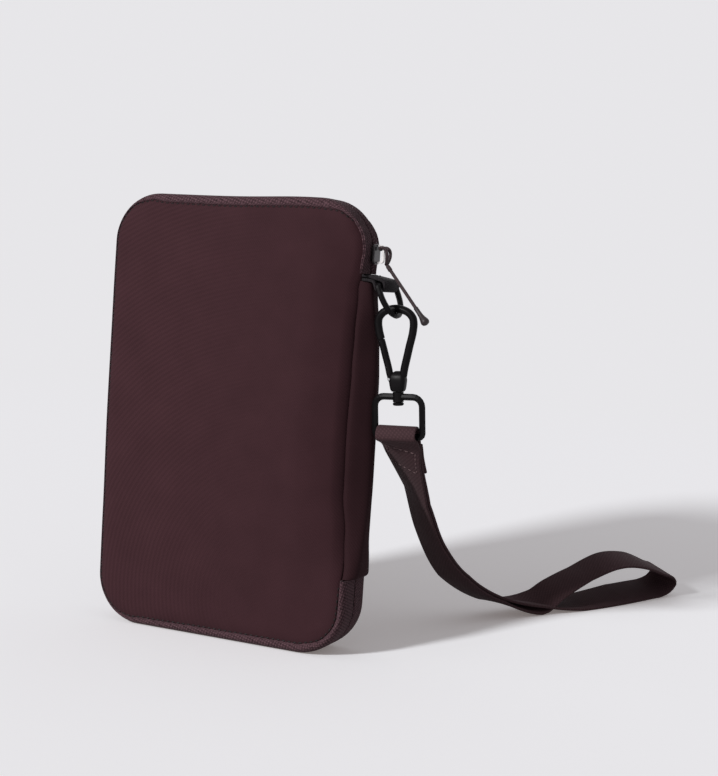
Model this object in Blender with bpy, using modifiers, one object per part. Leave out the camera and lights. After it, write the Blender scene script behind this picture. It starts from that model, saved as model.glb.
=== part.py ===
"""A zip-round travel document wallet, standing on its edge, with a wrist strap on a swivel clip.

Metres, +Z up. X runs from the left side to the spine, Y from the front cover to the back cover.
Pieces are drawn in the wallet's own frame, where the zip's parting plane is y = 0 and the base z = 0.
At the end the whole wallet moves in Y, so that the origin is the middle of the back half's base strip.
"""

import math

import bmesh
import bpy
from mathutils import Matrix, Vector

# Whole wallet
BODY_WIDTH = 0.126
BODY_HEIGHT = 0.200
BODY_DEPTH = 0.025
CORNER_RADIUS = 0.022
FIT_GAP = 0.0003

# Edge band: the zip tapes, from the seam round the shoulder to the slit between them
SEAM_INSET = 0.0042
SHOULDER_DEPTH = 0.0035
TAPE_THICKNESS = 0.0012
SLIT_WIDTH = 0.0012
COIL_SIZE = 0.0018

# Covers, from the outside in
PANEL_THICKNESS = 0.0020
PANEL_ROLL_WIDTH = 0.0085
PANEL_ROLL_DROP = 0.0011
PANEL_CROWN = 0.0011
PANEL_RING_SHARES = (0.25, 0.6, 1.0)
PANEL_FLAT_SHARE = 0.92
FOAM_THICKNESS = 0.0016
FOAM_MARGIN = 0.0012
LINING_THICKNESS = 0.0006
POCKET_THICKNESS = 0.0006
POCKET_MARGIN = 0.0065
CARD_POCKET_TOP_SHARES = (0.72, 0.58, 0.44)
PASSPORT_POCKET_TOP_SHARE = 0.60
BOARDING_PASS_POCKET_TOP_SHARE = 0.86

# Spine panel, on the right side between the covers
SPINE_ABOVE_CORNER = 0.0134
SPINE_BELOW_CORNER = 0.0122
SPINE_PROUD = 0.0008
SPINE_CROWN = 0.0007
SPINE_LINING_THICKNESS = 0.0006
SPINE_LINING_MARGIN = 0.0018

# Fabric tab that holds the D-ring
TAB_WIDTH = 0.0170
TAB_PLY = 0.0013
TAB_REACH = 0.0067
TAB_SAG = 0.0011
TAB_TAIL = 0.0016

# D-ring
RING_WIRE = 0.0026
D_SIDE_PLAY = 0.0005
D_HEIGHT = 0.0139
D_CORNER = 0.0016
D_SHOULDER_SHARE = 0.3
D_LEAN = math.radians(23.8)

# Clip: a teardrop hook with a spring gate, a knuckle and a swivel post
CLIP_WIRE = 0.0030
CLIP_HALF_WIDTH = 0.00826
CLIP_DROP = 0.0284
CLIP_NOSE_SHARE = 0.47
CLIP_LEAN_OUT = math.radians(3.4)
CLIP_LEAN_BACK = math.radians(4.0)
CLIP_OUTLINE_SHARES = (
    (0.00, 0.00),
    (0.36, 0.022),
    (0.68, 0.080),
    (0.90, 0.170),
    (1.00, 0.290),
    (0.98, 0.430),
    (0.86, 0.600),
    (0.68, 0.770),
    (0.48, 0.930),
    (0.39, 1.060),
)
KNUCKLE_WIDTH = 0.0092
KNUCKLE_HEIGHT = 0.0076
KNUCKLE_DEPTH = 0.0066
KNUCKLE_CORNER = 0.0012
SLOT_DEPTH = 0.0046
SLOT_WALL = 0.0044
GATE_WIRE = 0.0026
GATE_FOOT_RADIUS = 0.0018
GATE_FOOT_THICKNESS = 0.0014
PIN_RADIUS = 0.0006
PIN_MARGIN = 0.00144
PIN_DEPTH_SHARE = 0.28
SPRING_WIRE = 0.0004
SPRING_TURNS = 2
SPRING_PITCH = 0.00090
SPRING_LEG = 0.0025
POST_RADIUS = 0.0012
POST_GRIP = 0.0021
POST_HEAD_RADIUS = 0.0024
POST_HEAD_HEIGHT = 0.0013
BARREL_RADIUS = 0.0024
BARREL_LENGTH = 0.0043

# Rectangular ring on the swivel, and the wrist strap on its lower bar
LINK_WIRE = 0.0030
LINK_HEIGHT = 0.0176
LINK_TOP_CORNER = 0.0042
LINK_BOTTOM_CORNER = 0.0019
STRAP_WIDTH = 0.0185
STRAP_THICKNESS = 0.0013
STRAP_LENGTH = 0.270
STRAP_EDGE = 0.0003
STRAP_LAP_START = 0.0068
STRAP_LAP_LENGTH = 0.0200
STRAP_SECTION_STEP = 0.0045
# Route of the doubled webbing, then of the open loop at its end: x and y from the ring's lower bar as
# shares of the strap's length, height as a share of the bar's height, half the spacing of the two layers
# as a share of their closest spacing, and the azimuth and slope of the width in degrees
STRAP_DOUBLED_SHARES = (
    (0.000, 0.000, 1.000, 1.00, 180, -3),
    (-0.003, 0.022, 0.954, 1.00, 178, 5),
    (-0.007, 0.046, 0.902, 1.00, 174, 14),
    (-0.011, 0.134, 0.695, 1.00, 155, 25),
    (-0.010, 0.216, 0.457, 1.00, 159, 13),
    (0.009, 0.302, 0.244, 1.00, 163, -6),
    (0.054, 0.399, 0.098, 1.00, 154, -7),
    (0.112, 0.498, 0.027, 1.95, 149, -1),
)
STRAP_LOOP_SHARES = (
    (0.173, 0.596, 0.023, 151, 12),
    (0.225, 0.701, 0.037, 157, 21),
    (0.267, 0.805, 0.046, 158, 20),
    (0.288, 0.837, 0.100, 156, 18),
    (0.279, 0.804, 0.156, 154, 16),
    (0.248, 0.733, 0.224, 151, 18),
    (0.213, 0.661, 0.239, 153, 15),
    (0.173, 0.594, 0.182, 150, 6),
    (0.136, 0.535, 0.110, 150, 8),
)

# Zip slider, its bail and its cord pull
SLIDER_LENGTH = 0.0088
SLIDER_WIDTH = 0.0070
SLIDER_THICKNESS = 0.0012
SLIDER_CORNER = 0.0020
SLIDER_NECK_LENGTH = 0.0060
SLIDER_NECK_THICKNESS = 0.0006
BAIL_LENGTH = 0.0082
BAIL_STRIP = 0.0009
BAIL_WIDTH = 0.0018
BAIL_CORNER = 0.0019
PULL_CORD = 0.0014
PULL_LOOP_WIDTH = 0.0042
PULL_LOOP_HEIGHT = 0.0075
PULL_LENGTH = 0.0253
PULL_LEAN = math.radians(42.8)
PULL_LEAN_FORWARD = math.radians(10)
PULL_TIP_LENGTH = 0.0092
PULL_TIP_RADIUS = 0.0019
PULL_TIP_GRIP = 0.0026
PULL_TIP_WALL = 0.00045
# Side view of the tip: how far it has swelled out, and then rounded off, down its length
PULL_TIP_SWELL = ((0.45, 0.30), (0.86, 0.58), (1.00, 0.74))
PULL_TIP_NOSE = ((0.90, 0.88), (0.60, 0.97))
# Side view of the cord's loop from the bail: outwards and downwards as shares of the loop's height
PULL_LOOP_SHARES = (
    (0.00, 0.00, 0.00),
    (0.00, 0.00, 0.55),
    (0.10, 0.00, 1.00),
    (0.34, 0.02, 1.00),
    (0.55, 0.14, 0.84),
    (0.64, 0.42, 0.56),
    (0.62, 0.75, 0.28),
    (0.64, 1.00, 0.00),
)

# Smoothness
ARC_STEPS = 8
SHOULDER_STEPS = 4

# Worked out from the sizes above
HALF_WIDTH = BODY_WIDTH / 2
HALF_DEPTH = BODY_DEPTH / 2
SHOULDER_Y = HALF_DEPTH - SHOULDER_DEPTH
SPINE_FOOT_Z = CORNER_RADIUS + SPINE_ABOVE_CORNER
SPINE_HEAD_Z = BODY_HEIGHT - CORNER_RADIUS - SPINE_BELOW_CORNER
NECK_THICKNESS = 2 * TAB_PLY
TAB_FLOOR_Z = SPINE_HEAD_Z + FIT_GAP
TAPE_HEAD_Z = TAB_FLOOR_Z + NECK_THICKNESS + FIT_GAP
PANEL_INSET = SEAM_INSET + FIT_GAP
REST_Y = (SHOULDER_Y + SLIT_WIDTH / 2) / 2
D_BAR = Vector((HALF_WIDTH + TAB_REACH, 0, SPINE_HEAD_Z - TAB_SAG))
D_HALF_WIDTH = TAB_WIDTH / 2 + D_SIDE_PLAY + RING_WIRE / 2
CLIP_TOP = D_BAR + Vector(
    (
        D_HEIGHT * math.sin(D_LEAN),
        0,
        (RING_WIRE + CLIP_WIRE) / 2 + FIT_GAP - D_HEIGHT * math.cos(D_LEAN),
    )
)
CLIP_FRAME = (
    Matrix.Translation(CLIP_TOP)
    @ Matrix.Rotation(CLIP_LEAN_BACK, 4, "X")
    @ Matrix.Rotation(-CLIP_LEAN_OUT, 4, "Y")
)
KNUCKLE_FLOOR = CLIP_DROP + KNUCKLE_HEIGHT
GATE_PIVOT = Vector((PIN_MARGIN - KNUCKLE_WIDTH / 2, 0, -CLIP_DROP - KNUCKLE_HEIGHT * PIN_DEPTH_SHARE))
SLOT_FLOOR = -GATE_PIVOT.z + GATE_FOOT_RADIUS + FIT_GAP
POST_TOP = KNUCKLE_FLOOR - POST_GRIP
BARREL_TOP = KNUCKLE_FLOOR + FIT_GAP
LINK_TOP = BARREL_TOP + BARREL_LENGTH / 2
LINK_HALF_WIDTH = (STRAP_WIDTH + LINK_WIRE) / 2 + FIT_GAP
POST_HEAD_TOP = BARREL_TOP + BARREL_LENGTH + FIT_GAP
STRAP_BAR = CLIP_FRAME @ Vector((0, 0, -(LINK_TOP + LINK_HEIGHT)))
STRAP_WRAP_RADIUS = (LINK_WIRE + STRAP_THICKNESS) / 2 + FIT_GAP
STRAP_HALF_SPACING = (STRAP_THICKNESS + FIT_GAP) / 2
CORNER_CENTRE = Vector((HALF_WIDTH - CORNER_RADIUS, 0, BODY_HEIGHT - CORNER_RADIUS))
PLATE_X = HALF_WIDTH + FIT_GAP
BAIL_FOOT_X = PLATE_X + SLIDER_THICKNESS + FIT_GAP
PULL_PIVOT = Vector(
    (
        BAIL_FOOT_X + PULL_CORD / 2 + 1.5 * FIT_GAP,
        0,
        CORNER_CENTRE.z + BAIL_LENGTH / 2 - BAIL_STRIP - FIT_GAP - PULL_CORD / 2,
    )
)
BAIL_TOP_X = PULL_PIVOT.x + PULL_CORD / 2 + FIT_GAP + BAIL_STRIP


def clear_scene():
    for old in list(bpy.data.objects):
        bpy.data.objects.remove(old, do_unlink=True)


def new_collection(name):
    collection = bpy.data.collections.new(name)
    bpy.context.scene.collection.children.link(collection)
    return collection


def material(name, colour, roughness, metallic=0.0):
    made = bpy.data.materials.new(name)
    made.use_nodes = True
    shader = made.node_tree.nodes["Principled BSDF"]
    shader.inputs["Base Color"].default_value = (*colour, 1.0)
    shader.inputs["Roughness"].default_value = roughness
    shader.inputs["Metallic"].default_value = metallic
    return made


def add(collection, name, mesh, finish=None, frame=None):
    """An object of this mesh, drawn in the wallet's frame or, with a frame given, in that one."""
    if frame is not None:
        mesh.transform(frame)
    obj = bpy.data.objects.new(name, mesh)
    collection.objects.link(obj)
    if finish is not None:
        mesh.materials.append(finish)
    return obj


def face_outward(builder):
    bmesh.ops.recalc_face_normals(builder, faces=builder.faces)
    if builder.calc_volume(signed=True) < 0:
        bmesh.ops.reverse_faces(builder, faces=builder.faces)


def smooth(mesh, angle_deg=40):
    mesh.shade_smooth()
    mesh.set_sharp_from_angle(angle=math.radians(angle_deg))


def loft(rings, closed=False):
    """A skin over rings of points, closed into a loop or capped at both ends."""
    builder = bmesh.new()
    rows = [[builder.verts.new(point) for point in ring] for ring in rings]
    pairs = list(zip(rows, rows[1:]))
    if closed:
        pairs.append((rows[-1], rows[0]))
    for first, second in pairs:
        for i in range(len(first)):
            j = (i + 1) % len(first)
            builder.faces.new((first[i], first[j], second[j], second[i]))
    if not closed:
        builder.faces.new(rows[0])
        builder.faces.new(rows[-1])
    face_outward(builder)
    mesh = bpy.data.meshes.new("loft")
    builder.to_mesh(mesh)
    builder.free()
    smooth(mesh)
    return mesh


def mesh_of(curve_data):
    """The welded mesh of a curve, which a Boolean can take."""
    guide = bpy.data.objects.new("guide", curve_data)
    bpy.context.scene.collection.objects.link(guide)
    graph = bpy.context.evaluated_depsgraph_get()
    mesh = bpy.data.meshes.new_from_object(guide.evaluated_get(graph))
    bpy.data.objects.remove(guide, do_unlink=True)
    builder = bmesh.new()
    builder.from_mesh(mesh)
    bmesh.ops.remove_doubles(builder, verts=builder.verts, dist=FIT_GAP / 100)
    face_outward(builder)
    builder.to_mesh(mesh)
    builder.free()
    smooth(mesh)
    return mesh


def tube(points, radius, closed=False):
    """A round wire along the points."""
    data = bpy.data.curves.new("wire", "CURVE")
    data.dimensions = "3D"
    data.bevel_depth = radius
    data.bevel_resolution = 2
    data.use_fill_caps = True
    spline = data.splines.new("POLY")
    spline.points.add(len(points) - 1)
    for target, point in zip(spline.points, points):
        target.co = (*point, 1)
    spline.use_cyclic_u = closed
    return mesh_of(data)


def sheet_of(outlines, thickness, bevel=0.0):
    """A flat plate of closed outlines in its own XY plane, centred on that plane."""
    data = bpy.data.curves.new("outline", "CURVE")
    data.dimensions = "2D"
    data.fill_mode = "BOTH"
    data.extrude = thickness / 2 - bevel
    data.bevel_depth = bevel
    data.bevel_resolution = 1
    data.offset = -bevel
    for outline in outlines:
        spline = data.splines.new("POLY")
        spline.points.add(len(outline) - 1)
        for target, (x, y) in zip(spline.points, outline):
            target.co = (x, y, 0, 1)
        spline.use_cyclic_u = True
    return mesh_of(data)


def facing_front(y):
    """Turns a plate's own XY plane into the wallet's XZ plane, at this depth."""
    return Matrix.Translation((0, y, 0)) @ Matrix.Rotation(math.radians(90), 4, "X")


def facing_side(x):
    """Turns a plate's own XY plane into the wallet's YZ plane, at this width."""
    return Matrix.Translation((x, 0, 0)) @ Matrix(
        ((0, 0, 1, 0), (1, 0, 0, 0), (0, 1, 0, 0), (0, 0, 0, 1))
    )


def arc(centre, radius, first_deg, last_deg, steps=ARC_STEPS):
    points = []
    for i in range(steps + 1):
        angle = math.radians(first_deg + (last_deg - first_deg) * i / steps)
        points.append((centre[0] + radius * math.cos(angle), centre[1] + radius * math.sin(angle)))
    return points


def rounded_box(left, right, bottom, top, radius, steps=ARC_STEPS):
    """The outline of a rectangle with round corners."""
    points = arc((right - radius, bottom + radius), radius, -90, 0, steps)
    points += arc((right - radius, top - radius), radius, 0, 90, steps)
    points += arc((left + radius, top - radius), radius, 90, 180, steps)
    points += arc((left + radius, bottom + radius), radius, 180, 270, steps)
    return points


def curve_through(points, steps, closed=False):
    """Points of a centripetal Catmull-Rom curve through these points, with so many steps between two."""
    count = len(points)
    if closed:
        padded = [points[-1], *points, points[0], points[1]]
        spans = count
    else:
        padded = [2 * points[0] - points[1], *points, 2 * points[-1] - points[-2]]
        spans = count - 1
    found = []
    for i in range(spans):
        p0, p1, p2, p3 = padded[i : i + 4]
        t1 = (p1 - p0).length ** 0.5
        t2 = t1 + (p2 - p1).length ** 0.5
        t3 = t2 + (p3 - p2).length ** 0.5
        for step in range(steps):
            t = t1 + (t2 - t1) * step / steps
            a1 = p0.lerp(p1, t / t1)
            a2 = p1.lerp(p2, (t - t1) / (t2 - t1))
            a3 = p2.lerp(p3, (t - t2) / (t3 - t2))
            b1 = a1.lerp(a2, t / t2)
            b2 = a2.lerp(a3, (t - t1) / (t3 - t1))
            found.append(b1.lerp(b2, (t - t1) / (t2 - t1)))
    if not closed:
        found.append(points[-1].copy())
    return found


def turned(collection, name, profile, frame, finish):
    """A shape turned about the frame's Z axis, from (radius, height) points listed top to bottom."""
    mesh = bpy.data.meshes.new(name)
    mesh.from_pydata([(r, 0, z) for r, z in profile], [(i, i + 1) for i in range(len(profile) - 1)], [])
    mesh.materials.append(finish)
    obj = bpy.data.objects.new(name, mesh)
    collection.objects.link(obj)
    obj.matrix_world = frame
    screw = obj.modifiers.new("Turn", "SCREW")
    screw.steps = 16
    screw.render_steps = 16
    screw.use_merge_vertices = True
    screw.merge_threshold = FIT_GAP / 100
    screw.use_smooth_shade = True
    return obj


def combine(obj, other, operation):
    modifier = obj.modifiers.new(operation.title(), "BOOLEAN")
    modifier.operation = operation
    modifier.object = other
    modifier.use_self = True


def helper(collection, name, mesh, frame=None):
    """A cutter, or a shape that is joined to another."""
    obj = add(collection, name, mesh, frame=frame)
    obj.hide_render = True
    obj.display_type = "WIRE"
    return obj


def rod_mesh(radius, start, end, sides=16):
    """A cylinder between two points."""
    start, end = Vector(start), Vector(end)
    builder = bmesh.new()
    bmesh.ops.create_cone(
        builder,
        cap_ends=True,
        segments=sides,
        radius1=radius,
        radius2=radius,
        depth=(end - start).length,
    )
    turn = (end - start).to_track_quat("Z", "Y").to_matrix().to_4x4()
    bmesh.ops.transform(builder, matrix=Matrix.Translation((start + end) / 2) @ turn, verts=builder.verts)
    mesh = bpy.data.meshes.new("rod")
    builder.to_mesh(mesh)
    builder.free()
    smooth(mesh)
    return mesh


def box_mesh(low, high):
    low, high = Vector(low), Vector(high)
    builder = bmesh.new()
    bmesh.ops.create_cube(builder, size=1)
    size = Matrix.Diagonal((*(high - low), 1))
    bmesh.ops.transform(builder, matrix=Matrix.Translation((low + high) / 2) @ size, verts=builder.verts)
    mesh = bpy.data.meshes.new("box")
    builder.to_mesh(mesh)
    builder.free()
    return mesh


def corner_stations():
    """(centre x, centre z, direction x, direction z) round the outline's four corners, from the right side
    down round the bottom, the left side and the top. A point at some inset lies at the centre plus the
    direction times the corner radius less the inset."""
    stations = []
    signs = ((1, -1), (-1, -1), (-1, 1), (1, 1))
    for k, (sign_x, sign_z) in enumerate(signs):
        centre_x = sign_x * (HALF_WIDTH - CORNER_RADIUS)
        centre_z = BODY_HEIGHT / 2 + sign_z * (BODY_HEIGHT / 2 - CORNER_RADIUS)
        for dx, dz in arc((0, 0), 1, -90 * k, -90 * (k + 1)):
            stations.append((centre_x, centre_z, dx, dz))
    return stations


def zip_stations():
    """The zip's path: from the spine's foot round three sides to the tab at the spine's head."""
    centre_x = HALF_WIDTH - CORNER_RADIUS
    first = (centre_x, SPINE_FOOT_Z - FIT_GAP, 1, 0)
    last = (centre_x, TAPE_HEAD_Z, 1, 0)
    return [first, *corner_stations(), last]


def at_station(station, inset, y):
    centre_x, centre_z, dx, dz = station
    reach = CORNER_RADIUS - inset
    return Vector((centre_x + reach * dx, y, centre_z + reach * dz))


def shoulder_arc(edge_inset, end_inset, depth):
    """(inset, y) from the seam round the shoulder to the side."""
    points = []
    for i in range(SHOULDER_STEPS + 1):
        angle = math.pi / 2 * i / SHOULDER_STEPS
        inset = edge_inset - (edge_inset - end_inset) * math.sin(angle)
        points.append((inset, SHOULDER_Y + depth * math.cos(angle)))
    return points


def tape_mesh(side):
    slit_y = SLIT_WIDTH / 2
    profile = shoulder_arc(SEAM_INSET, 0, SHOULDER_DEPTH)
    profile += [(0, slit_y), (TAPE_THICKNESS, slit_y)]
    profile += reversed(shoulder_arc(SEAM_INSET, TAPE_THICKNESS, SHOULDER_DEPTH - TAPE_THICKNESS))
    return loft([[at_station(s, inset, side * y) for inset, y in profile] for s in zip_stations()])


def coil_mesh(side):
    """One row of the zip's teeth, a bead just inside its tape."""
    middle = (TAPE_THICKNESS + FIT_GAP + COIL_SIZE / 2, (FIT_GAP + COIL_SIZE) / 2)
    profile = arc(middle, COIL_SIZE / 2, 0, 315, 7)
    return loft([[at_station(s, inset, side * y) for inset, y in profile] for s in zip_stations()])


def panel_mesh(side):
    """A padded cover panel: flat inside, rolled down to the seam all round and slightly crowned."""
    rings = [(PANEL_INSET, HALF_DEPTH - PANEL_THICKNESS)]
    for i in range(SHOULDER_STEPS + 1):
        angle = math.pi / 2 * i / SHOULDER_STEPS
        inset = PANEL_INSET + PANEL_ROLL_WIDTH * (1 - math.cos(angle))
        rings.append((inset, HALF_DEPTH - PANEL_ROLL_DROP * (1 - math.sin(angle))))
    flat_inset = PANEL_INSET + PANEL_ROLL_WIDTH
    for share in PANEL_RING_SHARES:
        inset = flat_inset + (CORNER_RADIUS - flat_inset) * share * PANEL_FLAT_SHARE
        rings.append((inset, HALF_DEPTH + PANEL_CROWN * math.sin(math.pi / 2 * share)))
    stations = corner_stations()
    return loft([[at_station(s, inset, side * y) for s in stations] for inset, y in rings])


def slab(left, right, bottom, top, radius, outer_y, thickness, side):
    """A flat layer of a cover, from its outer face inwards."""
    middle_y = side * (outer_y - thickness / 2)
    mesh = sheet_of([rounded_box(left, right, bottom, top, radius)], thickness)
    mesh.transform(facing_front(middle_y))
    return mesh


def cover(parts, finishes, side, name, pockets):
    """One half of the wallet. Side is 1 for the back half and -1 for the front half."""
    made = [
        add(parts, f"{name}_panel", panel_mesh(side), finishes["cover"]),
        add(parts, f"zip_tape_{name}", tape_mesh(side), finishes["tape"]),
        add(parts, f"zip_coil_{name}", coil_mesh(side), finishes["coil"]),
    ]
    outer_y = HALF_DEPTH - PANEL_THICKNESS - FIT_GAP
    inset = PANEL_INSET + FOAM_MARGIN
    radius = CORNER_RADIUS - inset
    foam = slab(
        inset - HALF_WIDTH,
        HALF_WIDTH - inset,
        inset,
        BODY_HEIGHT - inset,
        radius,
        outer_y,
        FOAM_THICKNESS,
        side,
    )
    made.append(add(parts, f"{name}_foam", foam, finishes["foam"]))
    outer_y -= FOAM_THICKNESS + FIT_GAP
    inset = TAPE_THICKNESS + FIT_GAP
    radius = CORNER_RADIUS - inset
    lining = slab(
        inset - HALF_WIDTH,
        HALF_WIDTH - SEAM_INSET,
        inset,
        BODY_HEIGHT - inset,
        radius,
        outer_y,
        LINING_THICKNESS,
        side,
    )
    made.append(add(parts, f"{name}_lining", lining, finishes["lining"]))
    outer_y -= LINING_THICKNESS + FIT_GAP
    radius = CORNER_RADIUS - POCKET_MARGIN
    for pocket_name, top_share in pockets:
        pocket = slab(
            POCKET_MARGIN - HALF_WIDTH,
            HALF_WIDTH - POCKET_MARGIN,
            POCKET_MARGIN,
            BODY_HEIGHT * top_share,
            radius,
            outer_y,
            POCKET_THICKNESS,
            side,
        )
        made.append(add(parts, pocket_name, pocket, finishes["pocket"]))
        outer_y -= POCKET_THICKNESS + FIT_GAP
    return made


def spine_panel_mesh():
    """A channel that closes the right side, from the front seam round to the back seam."""
    rings = []
    steps = 10
    inner = shoulder_arc(SEAM_INSET, TAPE_THICKNESS, SHOULDER_DEPTH - TAPE_THICKNESS)
    outer = shoulder_arc(SEAM_INSET, -SPINE_PROUD, SHOULDER_DEPTH)
    for i in range(steps + 1):
        z = SPINE_FOOT_Z + (SPINE_HEAD_Z - SPINE_FOOT_Z) * i / steps
        crown = SPINE_CROWN * math.sin(math.pi * i / steps)
        ring = [(HALF_WIDTH - inset, -y, z) for inset, y in outer]
        for share in (-0.5, 0, 0.5):
            ring.append((HALF_WIDTH + SPINE_PROUD + crown * (1 - share**2), share * SHOULDER_Y, z))
        ring += [(HALF_WIDTH - inset, y, z) for inset, y in reversed(outer)]
        ring += [(HALF_WIDTH - inset, y, z) for inset, y in inner]
        ring += [(HALF_WIDTH - inset, -y, z) for inset, y in reversed(inner)]
        rings.append([Vector(point) for point in ring])
    return loft(rings)


def spine_lining_mesh():
    outline = rounded_box(
        SPINE_LINING_MARGIN - SHOULDER_Y,
        SHOULDER_Y - SPINE_LINING_MARGIN,
        SPINE_FOOT_Z + SPINE_LINING_MARGIN,
        SPINE_HEAD_Z - SPINE_LINING_MARGIN,
        SPINE_LINING_MARGIN,
        3,
    )
    mesh = sheet_of([outline], SPINE_LINING_THICKNESS)
    mesh.transform(facing_side(HALF_WIDTH - TAPE_THICKNESS - FIT_GAP - SPINE_LINING_THICKNESS / 2))
    return mesh


def tab_mesh():
    """Folded webbing round the D-ring's bar, its tail tucked into the side above the spine panel."""
    centre = (D_BAR.x, D_BAR.z)
    hole = RING_WIRE / 2 + FIT_GAP
    neck_x = HALF_WIDTH + SPINE_PROUD + SPINE_CROWN + FIT_GAP
    tail_x = HALF_WIDTH - TAPE_THICKNESS - TAB_TAIL
    outline = arc(centre, hole + TAB_PLY, -160, 75, 12)
    outline += [
        (neck_x, TAB_FLOOR_Z + NECK_THICKNESS),
        (tail_x, TAB_FLOOR_Z + NECK_THICKNESS),
        (tail_x, TAB_FLOOR_Z),
        (neck_x, TAB_FLOOR_Z),
    ]
    mesh = sheet_of([outline, arc(centre, hole, 0, 345, 23)], TAB_WIDTH)
    mesh.transform(facing_front(0))
    return mesh


def d_ring_mesh():
    """A D of wire that hangs from its straight bar, leaning out from the wallet."""
    side = D_HALF_WIDTH
    shoulder = D_HEIGHT * D_SHOULDER_SHARE
    outline = arc((side - D_CORNER, D_CORNER), D_CORNER, -90, 0, 3)
    outline += [
        (side * math.cos(a), shoulder + (D_HEIGHT - shoulder) * math.sin(a))
        for a in (math.pi * i / 16 for i in range(17))
    ]
    outline += arc((D_CORNER - side, D_CORNER), D_CORNER, 180, 270, 3)
    down = Vector((math.sin(D_LEAN), 0, -math.cos(D_LEAN)))
    points = [D_BAR + Vector((0, u, 0)) + down * w for u, w in outline]
    return tube(points, RING_WIRE / 2, closed=True)


def clip_points(shares):
    return [Vector((x * CLIP_HALF_WIDTH, 0, -v * CLIP_DROP)) for x, v in shares]


def hook_mesh():
    """The clip's wire, from the knuckle up the right arm and over the top to its nose on the left."""
    right = list(reversed(clip_points(CLIP_OUTLINE_SHARES)))
    left = [(-x, v) for x, v in CLIP_OUTLINE_SHARES[1:] if v < CLIP_NOSE_SHARE]
    left.append((-outline_share_at(CLIP_NOSE_SHARE), CLIP_NOSE_SHARE))
    return tube(curve_through(right + clip_points(left), 3), CLIP_WIRE / 2)


def outline_share_at(drop_share):
    """The clip outline's width at this drop, both as shares."""
    for (x0, v0), (x1, v1) in zip(CLIP_OUTLINE_SHARES, CLIP_OUTLINE_SHARES[1:]):
        if v0 <= drop_share <= v1:
            return x0 + (x1 - x0) * (drop_share - v0) / (v1 - v0)
    return CLIP_OUTLINE_SHARES[-1][0]


def knuckle_mesh():
    outline = rounded_box(
        -KNUCKLE_WIDTH / 2, KNUCKLE_WIDTH / 2, -KNUCKLE_FLOOR, -CLIP_DROP, KNUCKLE_CORNER, 4
    )
    mesh = sheet_of([outline], KNUCKLE_DEPTH, KNUCKLE_CORNER / 2)
    mesh.transform(facing_front(0))
    return mesh


def clip_hook(parts, cutters, finish):
    """The hook's wire and knuckle in one piece, with the gate's slot, the pin's hole and the post's bore."""
    hook = add(parts, "clip_hook", hook_mesh(), finish, CLIP_FRAME)
    combine(hook, helper(cutters, "knuckle_block", knuckle_mesh(), CLIP_FRAME), "UNION")
    half_slot = SLOT_DEPTH / 2
    slot_right = KNUCKLE_WIDTH / 2 - SLOT_WALL
    slot_top = KNUCKLE_CORNER - CLIP_DROP
    slot = box_mesh((-KNUCKLE_WIDTH, -half_slot, -SLOT_FLOOR), (slot_right, half_slot, slot_top))
    combine(hook, helper(cutters, "gate_slot", slot, CLIP_FRAME), "DIFFERENCE")
    through = Vector((0, KNUCKLE_DEPTH, 0))
    pin_hole = rod_mesh(PIN_RADIUS + FIT_GAP, GATE_PIVOT - through, GATE_PIVOT + through)
    combine(hook, helper(cutters, "pin_hole", pin_hole, CLIP_FRAME), "DIFFERENCE")
    bore_top = POST_TOP - FIT_GAP
    bore = rod_mesh(POST_RADIUS + FIT_GAP, (0, 0, -bore_top), (0, 0, -KNUCKLE_FLOOR - POST_GRIP))
    combine(hook, helper(cutters, "post_bore", bore, CLIP_FRAME), "DIFFERENCE")
    return hook


def gate_path():
    """The gate's wire, from just under the hook's nose down to its foot."""
    tip_share = CLIP_NOSE_SHARE + FIT_GAP / CLIP_DROP
    shares = [(-outline_share_at(tip_share), tip_share)]
    shares += [(-x, v) for x, v in CLIP_OUTLINE_SHARES if tip_share < v < 0.9]
    points = clip_points(shares)
    points.append(GATE_PIVOT + Vector((-GATE_WIRE / 8, 0, GATE_FOOT_RADIUS + GATE_WIRE / 2)))
    return curve_through(points, 2)


def clip_gate(parts, cutters, finish):
    gate = add(parts, "clip_gate", tube(gate_path(), GATE_WIRE / 2), finish, CLIP_FRAME)
    foot_back = -SLOT_DEPTH / 2 + FIT_GAP
    foot_y = foot_back + GATE_FOOT_THICKNESS / 2
    pivot = (GATE_PIVOT.x, GATE_PIVOT.z)
    outline = arc(pivot, GATE_FOOT_RADIUS, -180, 0, 10)
    lug_top = GATE_PIVOT.z + GATE_FOOT_RADIUS + GATE_WIRE
    outline += [(pivot[0] + GATE_FOOT_RADIUS / 2, lug_top), (pivot[0] - GATE_FOOT_RADIUS, lug_top)]
    foot = sheet_of([outline], GATE_FOOT_THICKNESS)
    foot.transform(facing_front(foot_y))
    combine(gate, helper(cutters, "gate_foot", foot, CLIP_FRAME), "UNION")
    through = Vector((0, KNUCKLE_DEPTH, 0))
    eye = rod_mesh(PIN_RADIUS + FIT_GAP, GATE_PIVOT - through, GATE_PIVOT + through)
    combine(gate, helper(cutters, "gate_eye", eye, CLIP_FRAME), "DIFFERENCE")
    return gate


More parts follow.
